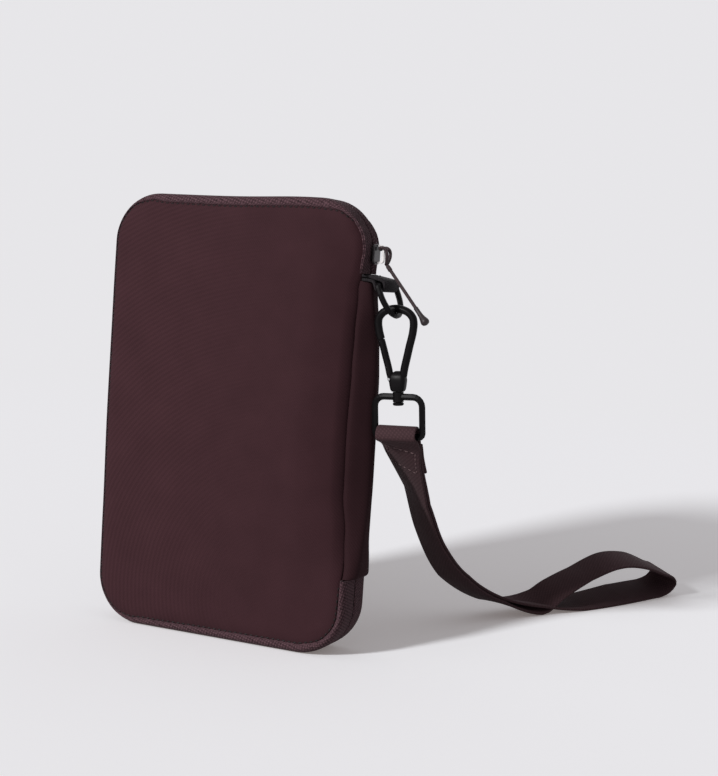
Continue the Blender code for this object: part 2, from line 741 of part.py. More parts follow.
def spring_mesh():
    """A torsion spring on the pin beside the gate's foot: one leg up the gate, one along the slot's floor."""
    radius = PIN_RADIUS + FIT_GAP + SPRING_WIRE / 2 + FIT_GAP / 2
    start_y = -SLOT_DEPTH / 2 + 2 * FIT_GAP + GATE_FOOT_THICKNESS + SPRING_WIRE / 2
    points = [GATE_PIVOT + Vector((radius, start_y, SPRING_LEG))]
    per_turn = 10
    for i in range(int(SPRING_TURNS * per_turn + per_turn / 4) + 1):
        angle = -2 * math.pi * i / per_turn
        run_y = start_y + SPRING_PITCH * i / per_turn
        points.append(GATE_PIVOT + Vector((math.cos(angle) * radius, run_y, math.sin(angle) * radius)))
    points.append(points[-1] + Vector((radius, 0, 0)))
    gap_mm = (SPRING_PITCH - SPRING_WIRE) * 1000
    print(f"gate_spring: least gap between turns {gap_mm:.2f} mm")
    return tube(points, SPRING_WIRE / 2)


def swivel_post(parts, finish):
    """The headed post that the rectangular ring turns on."""
    head_floor = POST_HEAD_TOP + POST_HEAD_HEIGHT
    rim = POST_HEAD_HEIGHT / 4
    profile = [
        (0, -POST_TOP),
        (POST_RADIUS, -POST_TOP),
        (POST_RADIUS, -POST_HEAD_TOP),
        (POST_HEAD_RADIUS - rim, -POST_HEAD_TOP),
        (POST_HEAD_RADIUS, -POST_HEAD_TOP - rim),
        (POST_HEAD_RADIUS, -head_floor + rim),
        (POST_HEAD_RADIUS - rim, -head_floor),
        (0, -head_floor),
    ]
    return turned(parts, "swivel_post", profile, CLIP_FRAME, finish)


def link_outline():
    """The rectangular ring's centre line: round upper corners, tight lower ones."""
    half = LINK_HALF_WIDTH
    top, bottom = -LINK_TOP, -LINK_TOP - LINK_HEIGHT
    big, small = LINK_TOP_CORNER, LINK_BOTTOM_CORNER
    outline = arc((half - big, top - big), big, 90, 0, 5)
    outline += arc((half - small, bottom + small), small, 0, -90, 3)
    outline += arc((small - half, bottom + small), small, -90, -180, 3)
    outline += arc((big - half, top - big), big, 180, 90, 5)
    return [Vector((x, 0, z)) for x, z in outline]


def strap_ring(parts, cutters, finish):
    ring = add(parts, "strap_ring", tube(link_outline(), LINK_WIRE / 2, closed=True), finish, CLIP_FRAME)
    top, bottom = (0, 0, -BARREL_TOP), (0, 0, -BARREL_TOP - BARREL_LENGTH)
    barrel = rod_mesh(BARREL_RADIUS, top, bottom, 20)
    combine(ring, helper(cutters, "ring_barrel", barrel, CLIP_FRAME), "UNION")
    over = Vector((0, 0, BARREL_LENGTH))
    bore = rod_mesh(POST_RADIUS + FIT_GAP, Vector(top) + over, Vector(bottom) - over)
    combine(ring, helper(cutters, "ring_bore", bore, CLIP_FRAME), "DIFFERENCE")
    return ring


def direction(azimuth_deg, slope_deg):
    azimuth, slope = math.radians(azimuth_deg), math.radians(slope_deg)
    flat = math.cos(slope)
    return Vector((flat * math.cos(azimuth), flat * math.sin(azimuth), math.sin(slope)))


def route_point(x_share, y_share, z_share):
    return Vector(
        (STRAP_BAR.x + x_share * STRAP_LENGTH, STRAP_BAR.y + y_share * STRAP_LENGTH, STRAP_BAR.z * z_share)
    )


def doubled_stations():
    """(centre, width direction, upward normal, half spacing) down the doubled webbing."""
    centres = [route_point(x, y, z) for x, y, z, *_ in STRAP_DOUBLED_SHARES]
    stations = []
    for i, (_, _, _, spacing, azimuth, slope) in enumerate(STRAP_DOUBLED_SHARES):
        before, after = centres[max(i - 1, 0)], centres[min(i + 1, len(centres) - 1)]
        width = direction(azimuth, slope)
        along = (after - before).normalized()
        normal = width.cross(along).normalized()
        half = STRAP_WRAP_RADIUS if i == 0 else STRAP_HALF_SPACING * spacing
        stations.append((centres[i], width, normal, half))
    return stations


def strap_route():
    """Control points and widths once round the webbing: the wrap, the lower layer, the open loop and back."""
    stations = doubled_stations()
    bar, bar_width, bar_normal, wrap = stations[0]
    away = bar_normal.cross(bar_width)
    route = []
    for angle in (-45, 0, 45):
        turn = math.radians(angle)
        reach = (bar_normal * -math.sin(turn) - away * math.cos(turn)) * wrap
        route.append((bar + reach, bar_width))
    route += [(centre - normal * half, width) for centre, width, normal, half in stations]
    route += [(route_point(x, y, z), direction(az, slope)) for x, y, z, az, slope in STRAP_LOOP_SHARES]
    route += [(centre + normal * half, width) for centre, width, normal, half in reversed(stations)]
    return route


def webbing_ring(centre, width, along):
    """The cross-section of the webbing, lifted where its edge would dip under the table."""
    across = (width - along * width.dot(along)).normalized()
    through = along.cross(across)
    half_width, half_thickness = STRAP_WIDTH / 2, STRAP_THICKNESS / 2
    lowest = half_width * abs(across.z) + half_thickness * abs(through.z)
    centre = centre.copy()
    centre.z = max(centre.z, lowest)
    flat_width = half_width - STRAP_EDGE
    flat_thickness = half_thickness - STRAP_EDGE
    corners = (
        (half_width, flat_thickness),
        (flat_width, half_thickness),
        (-flat_width, half_thickness),
        (-half_width, flat_thickness),
        (-half_width, -flat_thickness),
        (-flat_width, -half_thickness),
        (flat_width, -half_thickness),
        (half_width, -flat_thickness),
    )
    return [centre + across * u + through * v for u, v in corners]


def strap_mesh():
    """One band of webbing, closed round the ring's lower bar."""
    route = strap_route()
    steps = 8
    centres = curve_through([centre for centre, _ in route], steps, closed=True)
    widths = []
    for i, (_, width) in enumerate(route):
        following = route[(i + 1) % len(route)][1]
        widths += [width.lerp(following, step / steps) for step in range(steps)]
    kept = [0]
    for i in range(1, len(centres)):
        spaced = (centres[i] - centres[kept[-1]]).length
        bend = (centres[i] - STRAP_BAR).length < 2 * STRAP_WRAP_RADIUS
        if spaced > STRAP_SECTION_STEP or (bend and spaced > STRAP_SECTION_STEP / 4):
            kept.append(i)
    rings = []
    for i in kept:
        along = (centres[(i + 1) % len(centres)] - centres[i - 1]).normalized()
        rings.append(webbing_ring(centres[i], widths[i], along))
    return loft(rings, closed=True)


def strap_lap_mesh():
    """The webbing's end, sewn flat under the doubled webbing just below the ring."""
    stations = doubled_stations()
    steps = 8
    line = curve_through([centre for centre, *_ in stations], steps)
    rings, run = [], 0.0
    for i in range(1, len(line) - 1):
        run += (line[i] - line[i - 1]).length
        if not STRAP_LAP_START < run < STRAP_LAP_START + STRAP_LAP_LENGTH:
            continue
        k, share = divmod(i, steps)
        width = stations[k][1].lerp(stations[k + 1][1], share / steps)
        along = (line[i + 1] - line[i - 1]).normalized()
        normal = width.cross(along).normalized()
        half = stations[k][3] + (stations[k + 1][3] - stations[k][3]) * share / steps
        rings.append(webbing_ring(line[i] - normal * (half + 2 * STRAP_HALF_SPACING), width, along))
    return loft(rings)


def slider_body(parts, cutters, finish):
    """The plate outside the tapes, with its neck in the slit between them."""
    half_length, half_width = SLIDER_LENGTH / 2, SLIDER_WIDTH / 2
    centre_z = CORNER_CENTRE.z
    outline = rounded_box(
        -half_width, half_width, centre_z - half_length, centre_z + half_length, SLIDER_CORNER, 4
    )
    plate = sheet_of([outline], SLIDER_THICKNESS, SLIDER_THICKNESS / 4)
    plate.transform(facing_side(PLATE_X + SLIDER_THICKNESS / 2))
    body = add(parts, "slider_body", plate, finish)
    half_neck = SLIDER_NECK_LENGTH / 2
    neck = box_mesh(
        (HALF_WIDTH - TAPE_THICKNESS, -SLIDER_NECK_THICKNESS / 2, centre_z - half_neck),
        (PLATE_X + SLIDER_THICKNESS / 2, SLIDER_NECK_THICKNESS / 2, centre_z + half_neck),
    )
    combine(body, helper(cutters, "slider_neck", neck), "UNION")
    return body


def bail_mesh():
    """An arched strip on the slider's plate, which the pull's cord loops through."""
    low, high = CORNER_CENTRE.z - BAIL_LENGTH / 2, CORNER_CENTRE.z + BAIL_LENGTH / 2
    outer, inner = BAIL_CORNER, BAIL_CORNER - BAIL_STRIP
    inner_x = BAIL_TOP_X - BAIL_STRIP
    outline = [(BAIL_FOOT_X, low)]
    outline += arc((BAIL_TOP_X - outer, low + outer), outer, -90, 0, 4)
    outline += arc((BAIL_TOP_X - outer, high - outer), outer, 0, 90, 4)
    outline += [(BAIL_FOOT_X, high), (BAIL_FOOT_X, high - BAIL_STRIP)]
    outline += arc((inner_x - inner, high - BAIL_STRIP - inner), inner, 90, 0, 3)
    outline += arc((inner_x - inner, low + BAIL_STRIP + inner), inner, 0, -90, 3)
    outline.append((BAIL_FOOT_X, low + BAIL_STRIP))
    mesh = sheet_of([outline], BAIL_WIDTH)
    mesh.transform(facing_front(0))
    return mesh


def pull_cord(parts, cutters, finish):
    """A cord looped through the bail, its two strands joined and running out to the tip."""
    height, half_width = PULL_LOOP_HEIGHT, PULL_LOOP_WIDTH / 2
    near = [
        PULL_PIVOT + Vector((x * height, -y * half_width, -z * height)) for x, z, y in PULL_LOOP_SHARES
    ]
    far = [Vector((p.x, -p.y, p.z)) for p in reversed(near[1:-1])]
    loop = tube(curve_through(near + far, 3, closed=True), PULL_CORD / 2, closed=True)
    cord = add(parts, "pull_cord", loop, finish)
    flat = math.cos(PULL_LEAN_FORWARD)
    along = Vector((math.sin(PULL_LEAN) * flat, -math.sin(PULL_LEAN_FORWARD), -math.cos(PULL_LEAN) * flat))
    start = near[-1]
    stem = rod_mesh(PULL_CORD / 2, start, start + along * PULL_LENGTH, 8)
    combine(cord, helper(cutters, "pull_stem", stem), "UNION")
    return cord, start + along * PULL_LENGTH, along


def pull_tip(parts, finish, cord_end, along):
    """A moulded bulb on the cord's end, with a socket that the cord fills."""
    bore = PULL_CORD / 2 + FIT_GAP
    rim = bore + PULL_TIP_WALL
    profile = [(0, -PULL_TIP_GRIP), (bore, -PULL_TIP_GRIP), (bore, 0), (rim, 0)]
    profile += [
        (rim + (PULL_TIP_RADIUS - rim) * swell, -PULL_TIP_LENGTH * share) for swell, share in PULL_TIP_SWELL
    ]
    profile += [
        (PULL_TIP_RADIUS * round_off, -PULL_TIP_LENGTH * share) for round_off, share in PULL_TIP_NOSE
    ]
    profile.append((0, -PULL_TIP_LENGTH))
    mouth = cord_end - along * (PULL_TIP_GRIP - FIT_GAP)
    frame = Matrix.Translation(mouth) @ (-along).to_track_quat("Z", "Y").to_matrix().to_4x4()
    return turned(parts, "pull_tip", profile, frame, finish)


def joint_empty(parts, name, place, parent):
    """An empty on a joint's axis, which the moving pieces hang on."""
    empty = bpy.data.objects.new(name, None)
    parts.objects.link(empty)
    empty.empty_display_size = CORNER_RADIUS / 2
    empty.matrix_world = place if isinstance(place, Matrix) else Matrix.Translation(place)
    if parent is not None:
        hang(empty, parent)
    return empty


def hang(obj, parent):
    bpy.context.view_layer.update()
    obj.parent = parent
    obj.matrix_parent_inverse = parent.matrix_world.inverted()


def main():
    clear_scene()
    parts = new_collection("travel_document_wallet")
    cutters = new_collection("cutters")
    cloth = {
        "cover": material("cover_cloth", (0.052, 0.024, 0.028), 0.75),
        "tape": material("zip_tape_cloth", (0.075, 0.037, 0.042), 0.85),
        "coil": material("zip_coil_nylon", (0.030, 0.018, 0.020), 0.45),
        "foam": material("stiffening_foam", (0.32, 0.31, 0.30), 0.95),
        "lining": material("lining_cloth", (0.060, 0.026, 0.032), 0.70),
        "pocket": material("pocket_cloth", (0.070, 0.030, 0.036), 0.70),
    }
    spine_cloth = material("spine_cloth", (0.034, 0.017, 0.020), 0.70)
    webbing = material("strap_webbing", (0.034, 0.018, 0.021), 0.85)
    tab_webbing = material("tab_webbing", (0.012, 0.011, 0.012), 0.85)
    black_metal = material("black_metal", (0.010, 0.010, 0.011), 0.35, 1.0)
    spring_steel = material("spring_steel", (0.45, 0.45, 0.46), 0.30, 1.0)
    slider_metal = material("slider_metal", (0.11, 0.11, 0.12), 0.35, 1.0)
    bail_metal = material("bail_metal", (0.62, 0.60, 0.58), 0.22, 1.0)
    cord_nylon = material("pull_cord_nylon", (0.085, 0.028, 0.030), 0.65)
    tip_rubber = material("pull_tip_rubber", (0.060, 0.022, 0.025), 0.50)

    whole = joint_empty(parts, "whole_wallet", Vector(), None)
    spine_axis = joint_empty(parts, "spine_axis", Vector((HALF_WIDTH, HALF_DEPTH, 0)), whole)
    cover_axis = joint_empty(parts, "front_cover_axis", Vector((HALF_WIDTH, -HALF_DEPTH, 0)), spine_axis)
    slider_axis = joint_empty(parts, "slider_axis", CORNER_CENTRE, spine_axis)
    pull_axis = joint_empty(parts, "pull_axis", PULL_PIVOT, slider_axis)
    d_axis = joint_empty(parts, "d_ring_axis", D_BAR, spine_axis)
    clip_axis = joint_empty(parts, "clip_axis", CLIP_FRAME, d_axis)
    gate_axis = joint_empty(parts, "gate_axis", CLIP_FRAME @ Matrix.Translation(GATE_PIVOT), clip_axis)
    link_top = Matrix.Translation((0, 0, -LINK_TOP))
    ring_axis = joint_empty(parts, "strap_ring_axis", CLIP_FRAME @ link_top, clip_axis)
    link_bottom = Matrix.Translation((0, 0, -LINK_TOP - LINK_HEIGHT))
    strap_axis = joint_empty(parts, "strap_axis", CLIP_FRAME @ link_bottom, ring_axis)

    back_pockets = (
        ("boarding_pass_pocket", BOARDING_PASS_POCKET_TOP_SHARE),
        ("passport_pocket", PASSPORT_POCKET_TOP_SHARE),
    )
    front_pockets = [(f"card_pocket_{i + 1}", share) for i, share in enumerate(CARD_POCKET_TOP_SHARES)]
    for piece in cover(parts, cloth, 1, "back", back_pockets):
        hang(piece, whole)
    for piece in cover(parts, cloth, -1, "front", front_pockets):
        hang(piece, cover_axis)

    hang(add(parts, "spine_panel", spine_panel_mesh(), spine_cloth), spine_axis)
    hang(add(parts, "spine_lining", spine_lining_mesh(), cloth["lining"]), spine_axis)
    hang(add(parts, "strap_tab", tab_mesh(), tab_webbing), spine_axis)

    hang(slider_body(parts, cutters, slider_metal), slider_axis)
    hang(add(parts, "slider_bridge", bail_mesh(), bail_metal), slider_axis)
    cord, cord_end, along = pull_cord(parts, cutters, cord_nylon)
    hang(cord, pull_axis)
    hang(pull_tip(parts, tip_rubber, cord_end, along), pull_axis)

    hang(add(parts, "d_ring", d_ring_mesh(), black_metal), d_axis)
    hang(clip_hook(parts, cutters, black_metal), clip_axis)
    pin_reach = Vector((0, KNUCKLE_DEPTH / 2, 0))
    pin = rod_mesh(PIN_RADIUS, GATE_PIVOT - pin_reach, GATE_PIVOT + pin_reach, 12)
    hang(add(parts, "gate_pin", pin, spring_steel, CLIP_FRAME), clip_axis)
    hang(add(parts, "gate_spring", spring_mesh(), spring_steel, CLIP_FRAME), clip_axis)
    hang(swivel_post(parts, black_metal), clip_axis)
    hang(clip_gate(parts, cutters, black_metal), gate_axis)
    hang(strap_ring(parts, cutters, black_metal), ring_axis)
    hang(add(parts, "wrist_strap", strap_mesh(), webbing), strap_axis)
    hang(add(parts, "strap_end", strap_lap_mesh(), webbing), strap_axis)
    for cutter in list(cutters.objects):
        hang(cutter, whole)

    whole.location.y = -REST_Y


main()
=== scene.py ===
"""Looks for the travel document wallet: cloth, zip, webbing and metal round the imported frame.

Metres, +Z up. Cloth is drawn in the wallet's own frame, where the zip's parting plane is y = 0 and the base
z = 0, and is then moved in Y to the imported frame's place.
"""

import math

import bpy
from mathutils import Matrix, Vector, noise

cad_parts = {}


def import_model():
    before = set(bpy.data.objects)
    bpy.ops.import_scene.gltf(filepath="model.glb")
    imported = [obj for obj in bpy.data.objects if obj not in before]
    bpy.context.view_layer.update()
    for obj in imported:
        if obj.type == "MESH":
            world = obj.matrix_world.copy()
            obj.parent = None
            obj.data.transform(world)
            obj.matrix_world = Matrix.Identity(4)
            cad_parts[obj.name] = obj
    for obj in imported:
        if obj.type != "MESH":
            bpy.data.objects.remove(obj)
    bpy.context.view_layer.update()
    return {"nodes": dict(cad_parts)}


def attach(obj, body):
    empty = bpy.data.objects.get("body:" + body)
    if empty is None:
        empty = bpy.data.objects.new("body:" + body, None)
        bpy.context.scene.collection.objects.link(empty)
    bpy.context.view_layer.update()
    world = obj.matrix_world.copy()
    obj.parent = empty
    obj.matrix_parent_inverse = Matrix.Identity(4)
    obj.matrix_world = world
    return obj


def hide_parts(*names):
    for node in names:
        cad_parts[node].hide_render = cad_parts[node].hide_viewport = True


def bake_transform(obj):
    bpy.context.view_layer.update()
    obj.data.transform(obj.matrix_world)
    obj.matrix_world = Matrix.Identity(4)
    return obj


# Whole wallet, as in the CAD source
HALF_WIDTH = 0.063
HEIGHT = 0.200
HALF_DEPTH = 0.0125
CORNER_RADIUS = 0.022
REST_Y = 0.0048
SPINE_FOOT_Z = 0.0354
SPINE_HEAD_Z = 0.1658
TAPE_HEAD_Z = 0.1690

# Covers: the sewn edge, the roll down to it and the crown of the middle
PANEL_CROWN = 0.0019
PANEL_THICKNESS = 0.0007
PANEL_FLOOR = 0.0101
EDGE_ROLL = 0.0060
GROOVE_ROLL = 0.0045
SPINE_ROLL = 0.0210
SPINE_ROLL_POWER = 1.5
SEAM_Y = 0.01175
SHOULDER_SEAM_Y = 0.0102
SHOULDER_INSETS = (0.0003, 0.0045)
PANEL_UNEVEN = 0.00022
UNDER_RUN = 0.0035
ROLL_STEPS = 12
FLAT_STEPS = 6
STATION_STEP = 0.0027
CORNER_STEPS = 16
SHARP_ANGLE = math.radians(50)

# Puckers along the sewn edge: (share, pitch)
PUCKERS = ((0.4, 0.0083), (0.6, 0.0227))
PUCKER_HEIGHT = 0.00013
PUCKER_INSET = 0.0045
PUCKER_RUN = 0.002
PUCKER_SPAN = 0.003

# By side, front (-1) and back (1)
HALVES = ((-1, "front"), (1, "back"))
COVER_BODIES = {-1: "front_cover", 1: "back_cover"}
# The roll's fall towards the spine, the seam there, and the spine's shoulder
SPINE_DROP = {-1: 0.0078, 1: 0.0040}
GROOVE_Y = {-1: 0.0014, 1: 0.0066}
SPINE_PEAK_Y = {-1: 0.0026, 1: 0.0112}

# Where the cover's seam runs: (angle about the cover's middle from the spine, inset from the outline)
SEAM_INSETS = (
    (0.0, 0.0071), (24.0, 0.0063), (34.0, 0.0053), (44.5, 0.0041), (48.4, 0.0017), (51.0, 0.0005),
    (54.0, 0.0005), (57.0, 0.0010), (60.2, 0.0022), (66.4, 0.0045), (90.0, 0.0045), (108.8, 0.0041),
    (115.4, 0.0030), (120.8, 0.0016), (129.0, 0.0010), (231.0, 0.0010), (239.2, 0.0016), (245.5, 0.0030),
    (249.0, 0.0038), (270.0, 0.0044), (295.2, 0.0046), (301.7, 0.0034), (306.0, 0.0030), (315.0, 0.0034),
    (323.3, 0.0050), (336.0, 0.0070), (360.0, 0.0071),
)
# How deep the groove beside the spine is drawn in, by height
GROOVE_SHARES = (
    (0.020, 0.0), (0.058, 1.0), (0.158, 1.0), (0.172, 0.85), (0.184, 0.55), (0.197, 0.0),
)

# Outline of the real wallet against a true rounded box
SIDE_LEAN = (
    (0.000, 0.0012), (0.020, 0.0014), (0.040, 0.0014), (0.070, 0.0009), (0.103, 0.0006), (0.120, 0.0005),
    (0.150, -0.0005), (0.172, -0.0009), (0.200, -0.0008),
)
CORNER_PINCH = (
    (0.120, 0.0), (0.135, 0.2), (0.149, 0.5), (0.162, 0.85), (0.175, 1.0), (0.190, 1.0), (0.200, 0.85),
)
FRONT_PINCH = 0.15
BACK_PINCH = 0.38
SPINE_FOOT_FLARE = 0.0010
LEFT_DRAW = ((0.000, 0.0013), (0.050, 0.0009), (0.100, 0.0004), (0.150, 0.0006), (0.200, 0.0010))
TOP_RISE = 0.0012
TOP_RISE_X = 0.034
TOP_RISE_SPAN = 0.026

# Zip
TAPE_PEAK_Y = (0.0112, 0.0124)
TAPE_THICKNESS = 0.0008
LEAST_BULGE = 0.0009
COIL_INSET = 0.0024
COIL_Y = 0.00106
COIL_RADIUS = 0.00082
COIL_WIRE = 0.00024
COIL_PITCH = 0.00145
COIL_STEPS = 8
COIL_END = 0.001

# Spine cloth
SIDE_X = 0.06387
SPINE_HIGH_Y = 0.0112
# The side slants back from its front seam: how far, how much of it by height, and its share along the profile
SPINE_SLANT = 0.0068
SLANT_HEIGHTS = ((0.0340, 0.10), (0.0760, 1.0), (0.1400, 1.0), (0.1620, 0.0))
SLANT_SHARES = {
    -1: (0.0, 0.0, 0.06, 0.30, 0.58, 0.85, 0.97, 0.99, 1.0),
    1: (0.0, 0.0, 0.0, 0.0, 0.05, 0.31, 0.48, 0.73, 1.0),
}
SPINE_COLLAR = 0.0031
SPINE_COLLAR_Y = 0.0090
SPINE_THICKNESS = 0.0010
SPINE_CROWN = 0.0005
SPINE_WRINKLE = 0.00016
SPINE_HEM = 0.0016
SPINE_SEAM_INSET = 0.0022

# Strips across the folds beside the spine, and the (x, y) section of the spine's lining
FOLD_THICKNESS = 0.0003
FOLD_MARGIN = 0.0012
OUTER_FOLD_DROP = 0.0008
INNER_FOLD_DROP = 0.0013
LINING_STRIP = (
    (0.0572, 0.0002), (0.0592, 0.0032), (0.0608, 0.0068), (0.0604, 0.0068), (0.0588, 0.0032),
    (0.0568, 0.0002),
)

# Linings and pockets
LINING_Y = 0.0080
LINING_THICKNESS = 0.0006
POCKET_STEP = 0.0009
POCKET_MARGIN = 0.0065
POCKET_RIGHT = 0.0466
POCKET_WAVE = 0.00009
LINING_RIGHT = 0.0478
LINING_INSET = 0.0022
LINING_WAVE = 0.00010
BOARD_RIGHT = 0.0432
BOARD_INSET = 0.0057
BOARD_Y = 0.0091
BOARD_THICKNESS = 0.0010
HEM_HEIGHT = 0.0055
FLAT_SPACING = 0.012
POCKETS = (  # piece, node, side, height of the top, layer on the lining
    ("card_slot_1", "card_pocket_1", -1, 0.144, 0),
    ("card_slot_2", "card_pocket_2", -1, 0.116, 1),
    ("card_slot_3", "card_pocket_3", -1, 0.088, 2),
    ("boarding_pass_sleeve", "boarding_pass_pocket", 1, 0.172, 0),
    ("passport_sleeve", "passport_pocket", 1, 0.120, 1),
)

# Stitches
STITCH_PITCH = 0.0027
STITCH_LENGTH = 0.0017
STITCH_RADIUS = 0.00028
STITCH_RING = 7
STITCH_LIFT = 0.00008
# Along a stitch: share of its length, share of its radius, radii that it sinks
STITCH_SHAPE = ((0.0, 0.35, 0.9), (0.18, 0.9, 0.25), (0.5, 1.0, 0.0), (0.82, 0.9, 0.25), (1.0, 0.35, 0.9))

# Tab, D-ring bar, pull and slider
TAB_WIDTH = 0.0170
TAB_PLY = 0.0013
TAB_EDGE = 0.0005
TAB_TAIL_SHARE = 0.60
TAB_SPREAD_X = (0.0620, 0.0690)
TAB_UPPER_TAIL = ((0.0600, 0.1684), (0.0630, 0.1683), (0.0660, 0.1678))
TAB_LOWER_TAIL = ((0.0662, 0.1660), (0.0630, 0.1666), (0.0600, 0.1667))
TAB_SEAM_X = (0.0652, 0.0640)
TAB_SEAM_Z = 0.16878
TAB_SEAM_INSET = 0.0008
D_BAR = Vector((0.0697, 0.0, 0.1647))
D_WIRE_RADIUS = 0.0013
FIT_GAP = 0.0003
PULL_PIVOT = Vector((0.06595, 0.0, 0.1802))
PULL_CORD = 0.0015
PULL_LOOP_WIDTH = 0.0042
PULL_END = Vector((0.08690, -0.00439, 0.15442))
PULL_TIP_LENGTH = 0.0092
PULL_TIP_GRIP = 0.0026
PULL_TIP_PLAY = 0.00008
BIND_RUN = (0.0012, 0.0034)
BIND_THREAD = 0.00022
NEARLY_NONE = 0.00001
PULL_TIP_PROFILE = (
    (0.00088, 0.00), (0.00098, 0.02), (0.00100, 0.30), (0.00112, 0.50), (0.00145, 0.66), (0.00180, 0.78),
    (0.00190, 0.87), (0.00160, 0.95), (0.00100, 0.99),
)
PULL_LOOP = (  # x and z from the pivot in metres, share of the half width
    (0.0000, 0.0000, 0.00), (0.0000, 0.0002, 0.55), (0.0007, 0.0006, 1.00), (0.0021, 0.0006, 1.00),
    (0.0033, -0.0003, 1.00), (0.0038, -0.0024, 0.95), (0.0036, -0.0047, 0.60), (0.0031, -0.0064, 0.00),
)

# Clip: its frame, and the wire's outline as shares of its half width and drop
CLIP_TOP = Vector((0.075309, 0.0, 0.155082))
CLIP_X = Vector((0.99824, -0.004137, 0.059162))
CLIP_Y = Vector((0.0, 0.997564, 0.069757))
CLIP_Z = Vector((-0.059306, -0.069634, 0.995808))
CLIP_WIRE = 0.0035
CLIP_HALF_WIDTH = 0.00826
CLIP_DROP = 0.0284
CLIP_NOSE_SHARE = 0.47
CLIP_SHIFT = 0.0006
CLIP_SHARES = (
    (0.00, 0.000), (0.40, 0.018), (0.74, 0.065), (0.95, 0.140), (1.00, 0.220), (0.97, 0.320), (0.89, 0.430),
    (0.77, 0.550), (0.62, 0.720), (0.46, 0.900), (0.37, 1.030),
)
KNUCKLE_LEVELS = (  # z, half width, half depth
    (-0.0272, 0.0012, 0.0010),
    (-0.0280, 0.0026, 0.0019),
    (-0.0293, 0.0036, 0.0025),
    (-0.0312, 0.0038, 0.0028),
    (-0.0335, 0.0035, 0.0027),
    (-0.0352, 0.0032, 0.0025),
    (-0.0360, 0.0027, 0.0021),
)
GATE_WIRE = 0.0031
GATE_PIVOT = (-0.00316, -0.0305)
GATE_EYE = 0.0016
GATE_EYE_DEPTH = 0.0014
GATE_TONGUE = 0.0010
GATE_PLAY = 0.00005
RIVET_RADIUS = 0.00042
RIVET_DROP = 0.0008
RIVET_DEPTHS = (-0.00145, -0.0013, 0.0013, 0.00145)

# Wrist strap: the CAD source's route from the ring's lower bar
STRAP_BAR = Vector((0.078633, 0.003903, 0.099267))
STRAP_WIDTH = 0.0185
STRAP_THICKNESS = 0.0013
STRAP_EDGE = 0.00045
STRAP_LENGTH = 0.270
STRAP_WRAP_RADIUS = 0.00245
STRAP_HALF_SPACING = 0.0008
STRAP_SECTION_STEP = 0.0022
STRAP_STEPS = 14
STRAP_WRAP_SLACK = 0.0026
SPLIT_LIFT = 0.0036
SPLIT_TILT = (151, 27)
STRAP_LAP_START = 0.0068
STRAP_LAP_LENGTH = 0.0200
STRAP_SEAM_MARGIN = 0.0014
STRAP_SEAM_INSET = 0.0022
STRAP_STITCH_PITCH = 0.0024
# Down the doubled webbing: shares of the length and of the bar's height, spacing, azimuth and slope
STRAP_DOUBLED_SHARES = (
    (0.000, 0.000, 1.000, 1.00, 180, -3),
    (-0.003, 0.022, 0.954, 1.00, 178, 5),
    (-0.007, 0.046, 0.902, 1.00, 174, 14),
    (-0.011, 0.134, 0.695, 1.00, 152, 25),
    (-0.010, 0.216, 0.457, 1.00, 154, 13),
    (0.009, 0.302, 0.244, 1.00, 158, -6),
    (0.054, 0.399, 0.098, 1.00, 151, -7),
    (0.112, 0.498, 0.027, 1.95, 149, -1),
)
# Round the loop, the same without the spacing
STRAP_LOOP_SHARES = (
    (0.173, 0.596, 0.023, 151, 12),
    (0.225, 0.701, 0.037, 157, 21),
    (0.267, 0.805, 0.038, 158, 20),
    (0.284, 0.834, 0.062, 157, 19),
    (0.291, 0.845, 0.100, 156, 18),
    (0.289, 0.834, 0.134, 155, 17),
    (0.279, 0.804, 0.160, 154, 16),
    (0.248, 0.733, 0.224, 151, 18),
    (0.213, 0.661, 0.239, 153, 15),
    (0.173, 0.594, 0.182, 150, 9),
    (0.136, 0.535, 0.110, 150, 17),
)

# Camera and light
CAMERA_PLACE = Vector((0.2994, -0.5693, 0.1655))
CAMERA_YAW = math.radians(22.99)
CAMERA_PITCH = math.radians(4.32)
CAMERA_ROLL = math.radians(3.74)
CAMERA_LENS = 70.2
KEY_PLACE = Vector((-0.262, -0.80, 0.465))
KEY_RADIUS = 0.055
KEY_LEVEL = 0.86
FILL = 0.26
FILL_COLOUR = (0.98, 0.98, 1.0, 1)
PALE = (0.800, 0.793, 0.815)
FLOOR_LIT = (0.640, 0.655, 0.680)
FLOOR_BASE = (0.170, 0.148, 0.142)
FLOOR_BOUNCE = (0.50, 0.49, 0.49, 1)
FLOOR_FADE = (0.8, 1.6)
FLOOR_SIZE = 6.0

# A wave texture's scale times its pitch
WAVE_UNIT = 0.314159


def unit(degrees):
    """Cosine and sine of this angle."""
    turn = math.radians(degrees)
    return math.cos(turn), math.sin(turn)


def spread(first, last, steps):
    """Evenly spaced values from the first to the last."""
    return [first + (last - first) * i / steps for i in range(steps + 1)]


def smoothstep(low, high, value):
    t = min(max((value - low) / (high - low), 0.0), 1.0)
    return t * t * (3 - 2 * t)


def between(table, value):
    """The table's value here, eased from each entry to the next."""
    if value <= table[0][0]:
        return table[0][1]
    for (a, first), (b, second) in zip(table, table[1:]):
        if value <= b:
            return first + (second - first) * smoothstep(a, b, value)
    return table[-1][1]


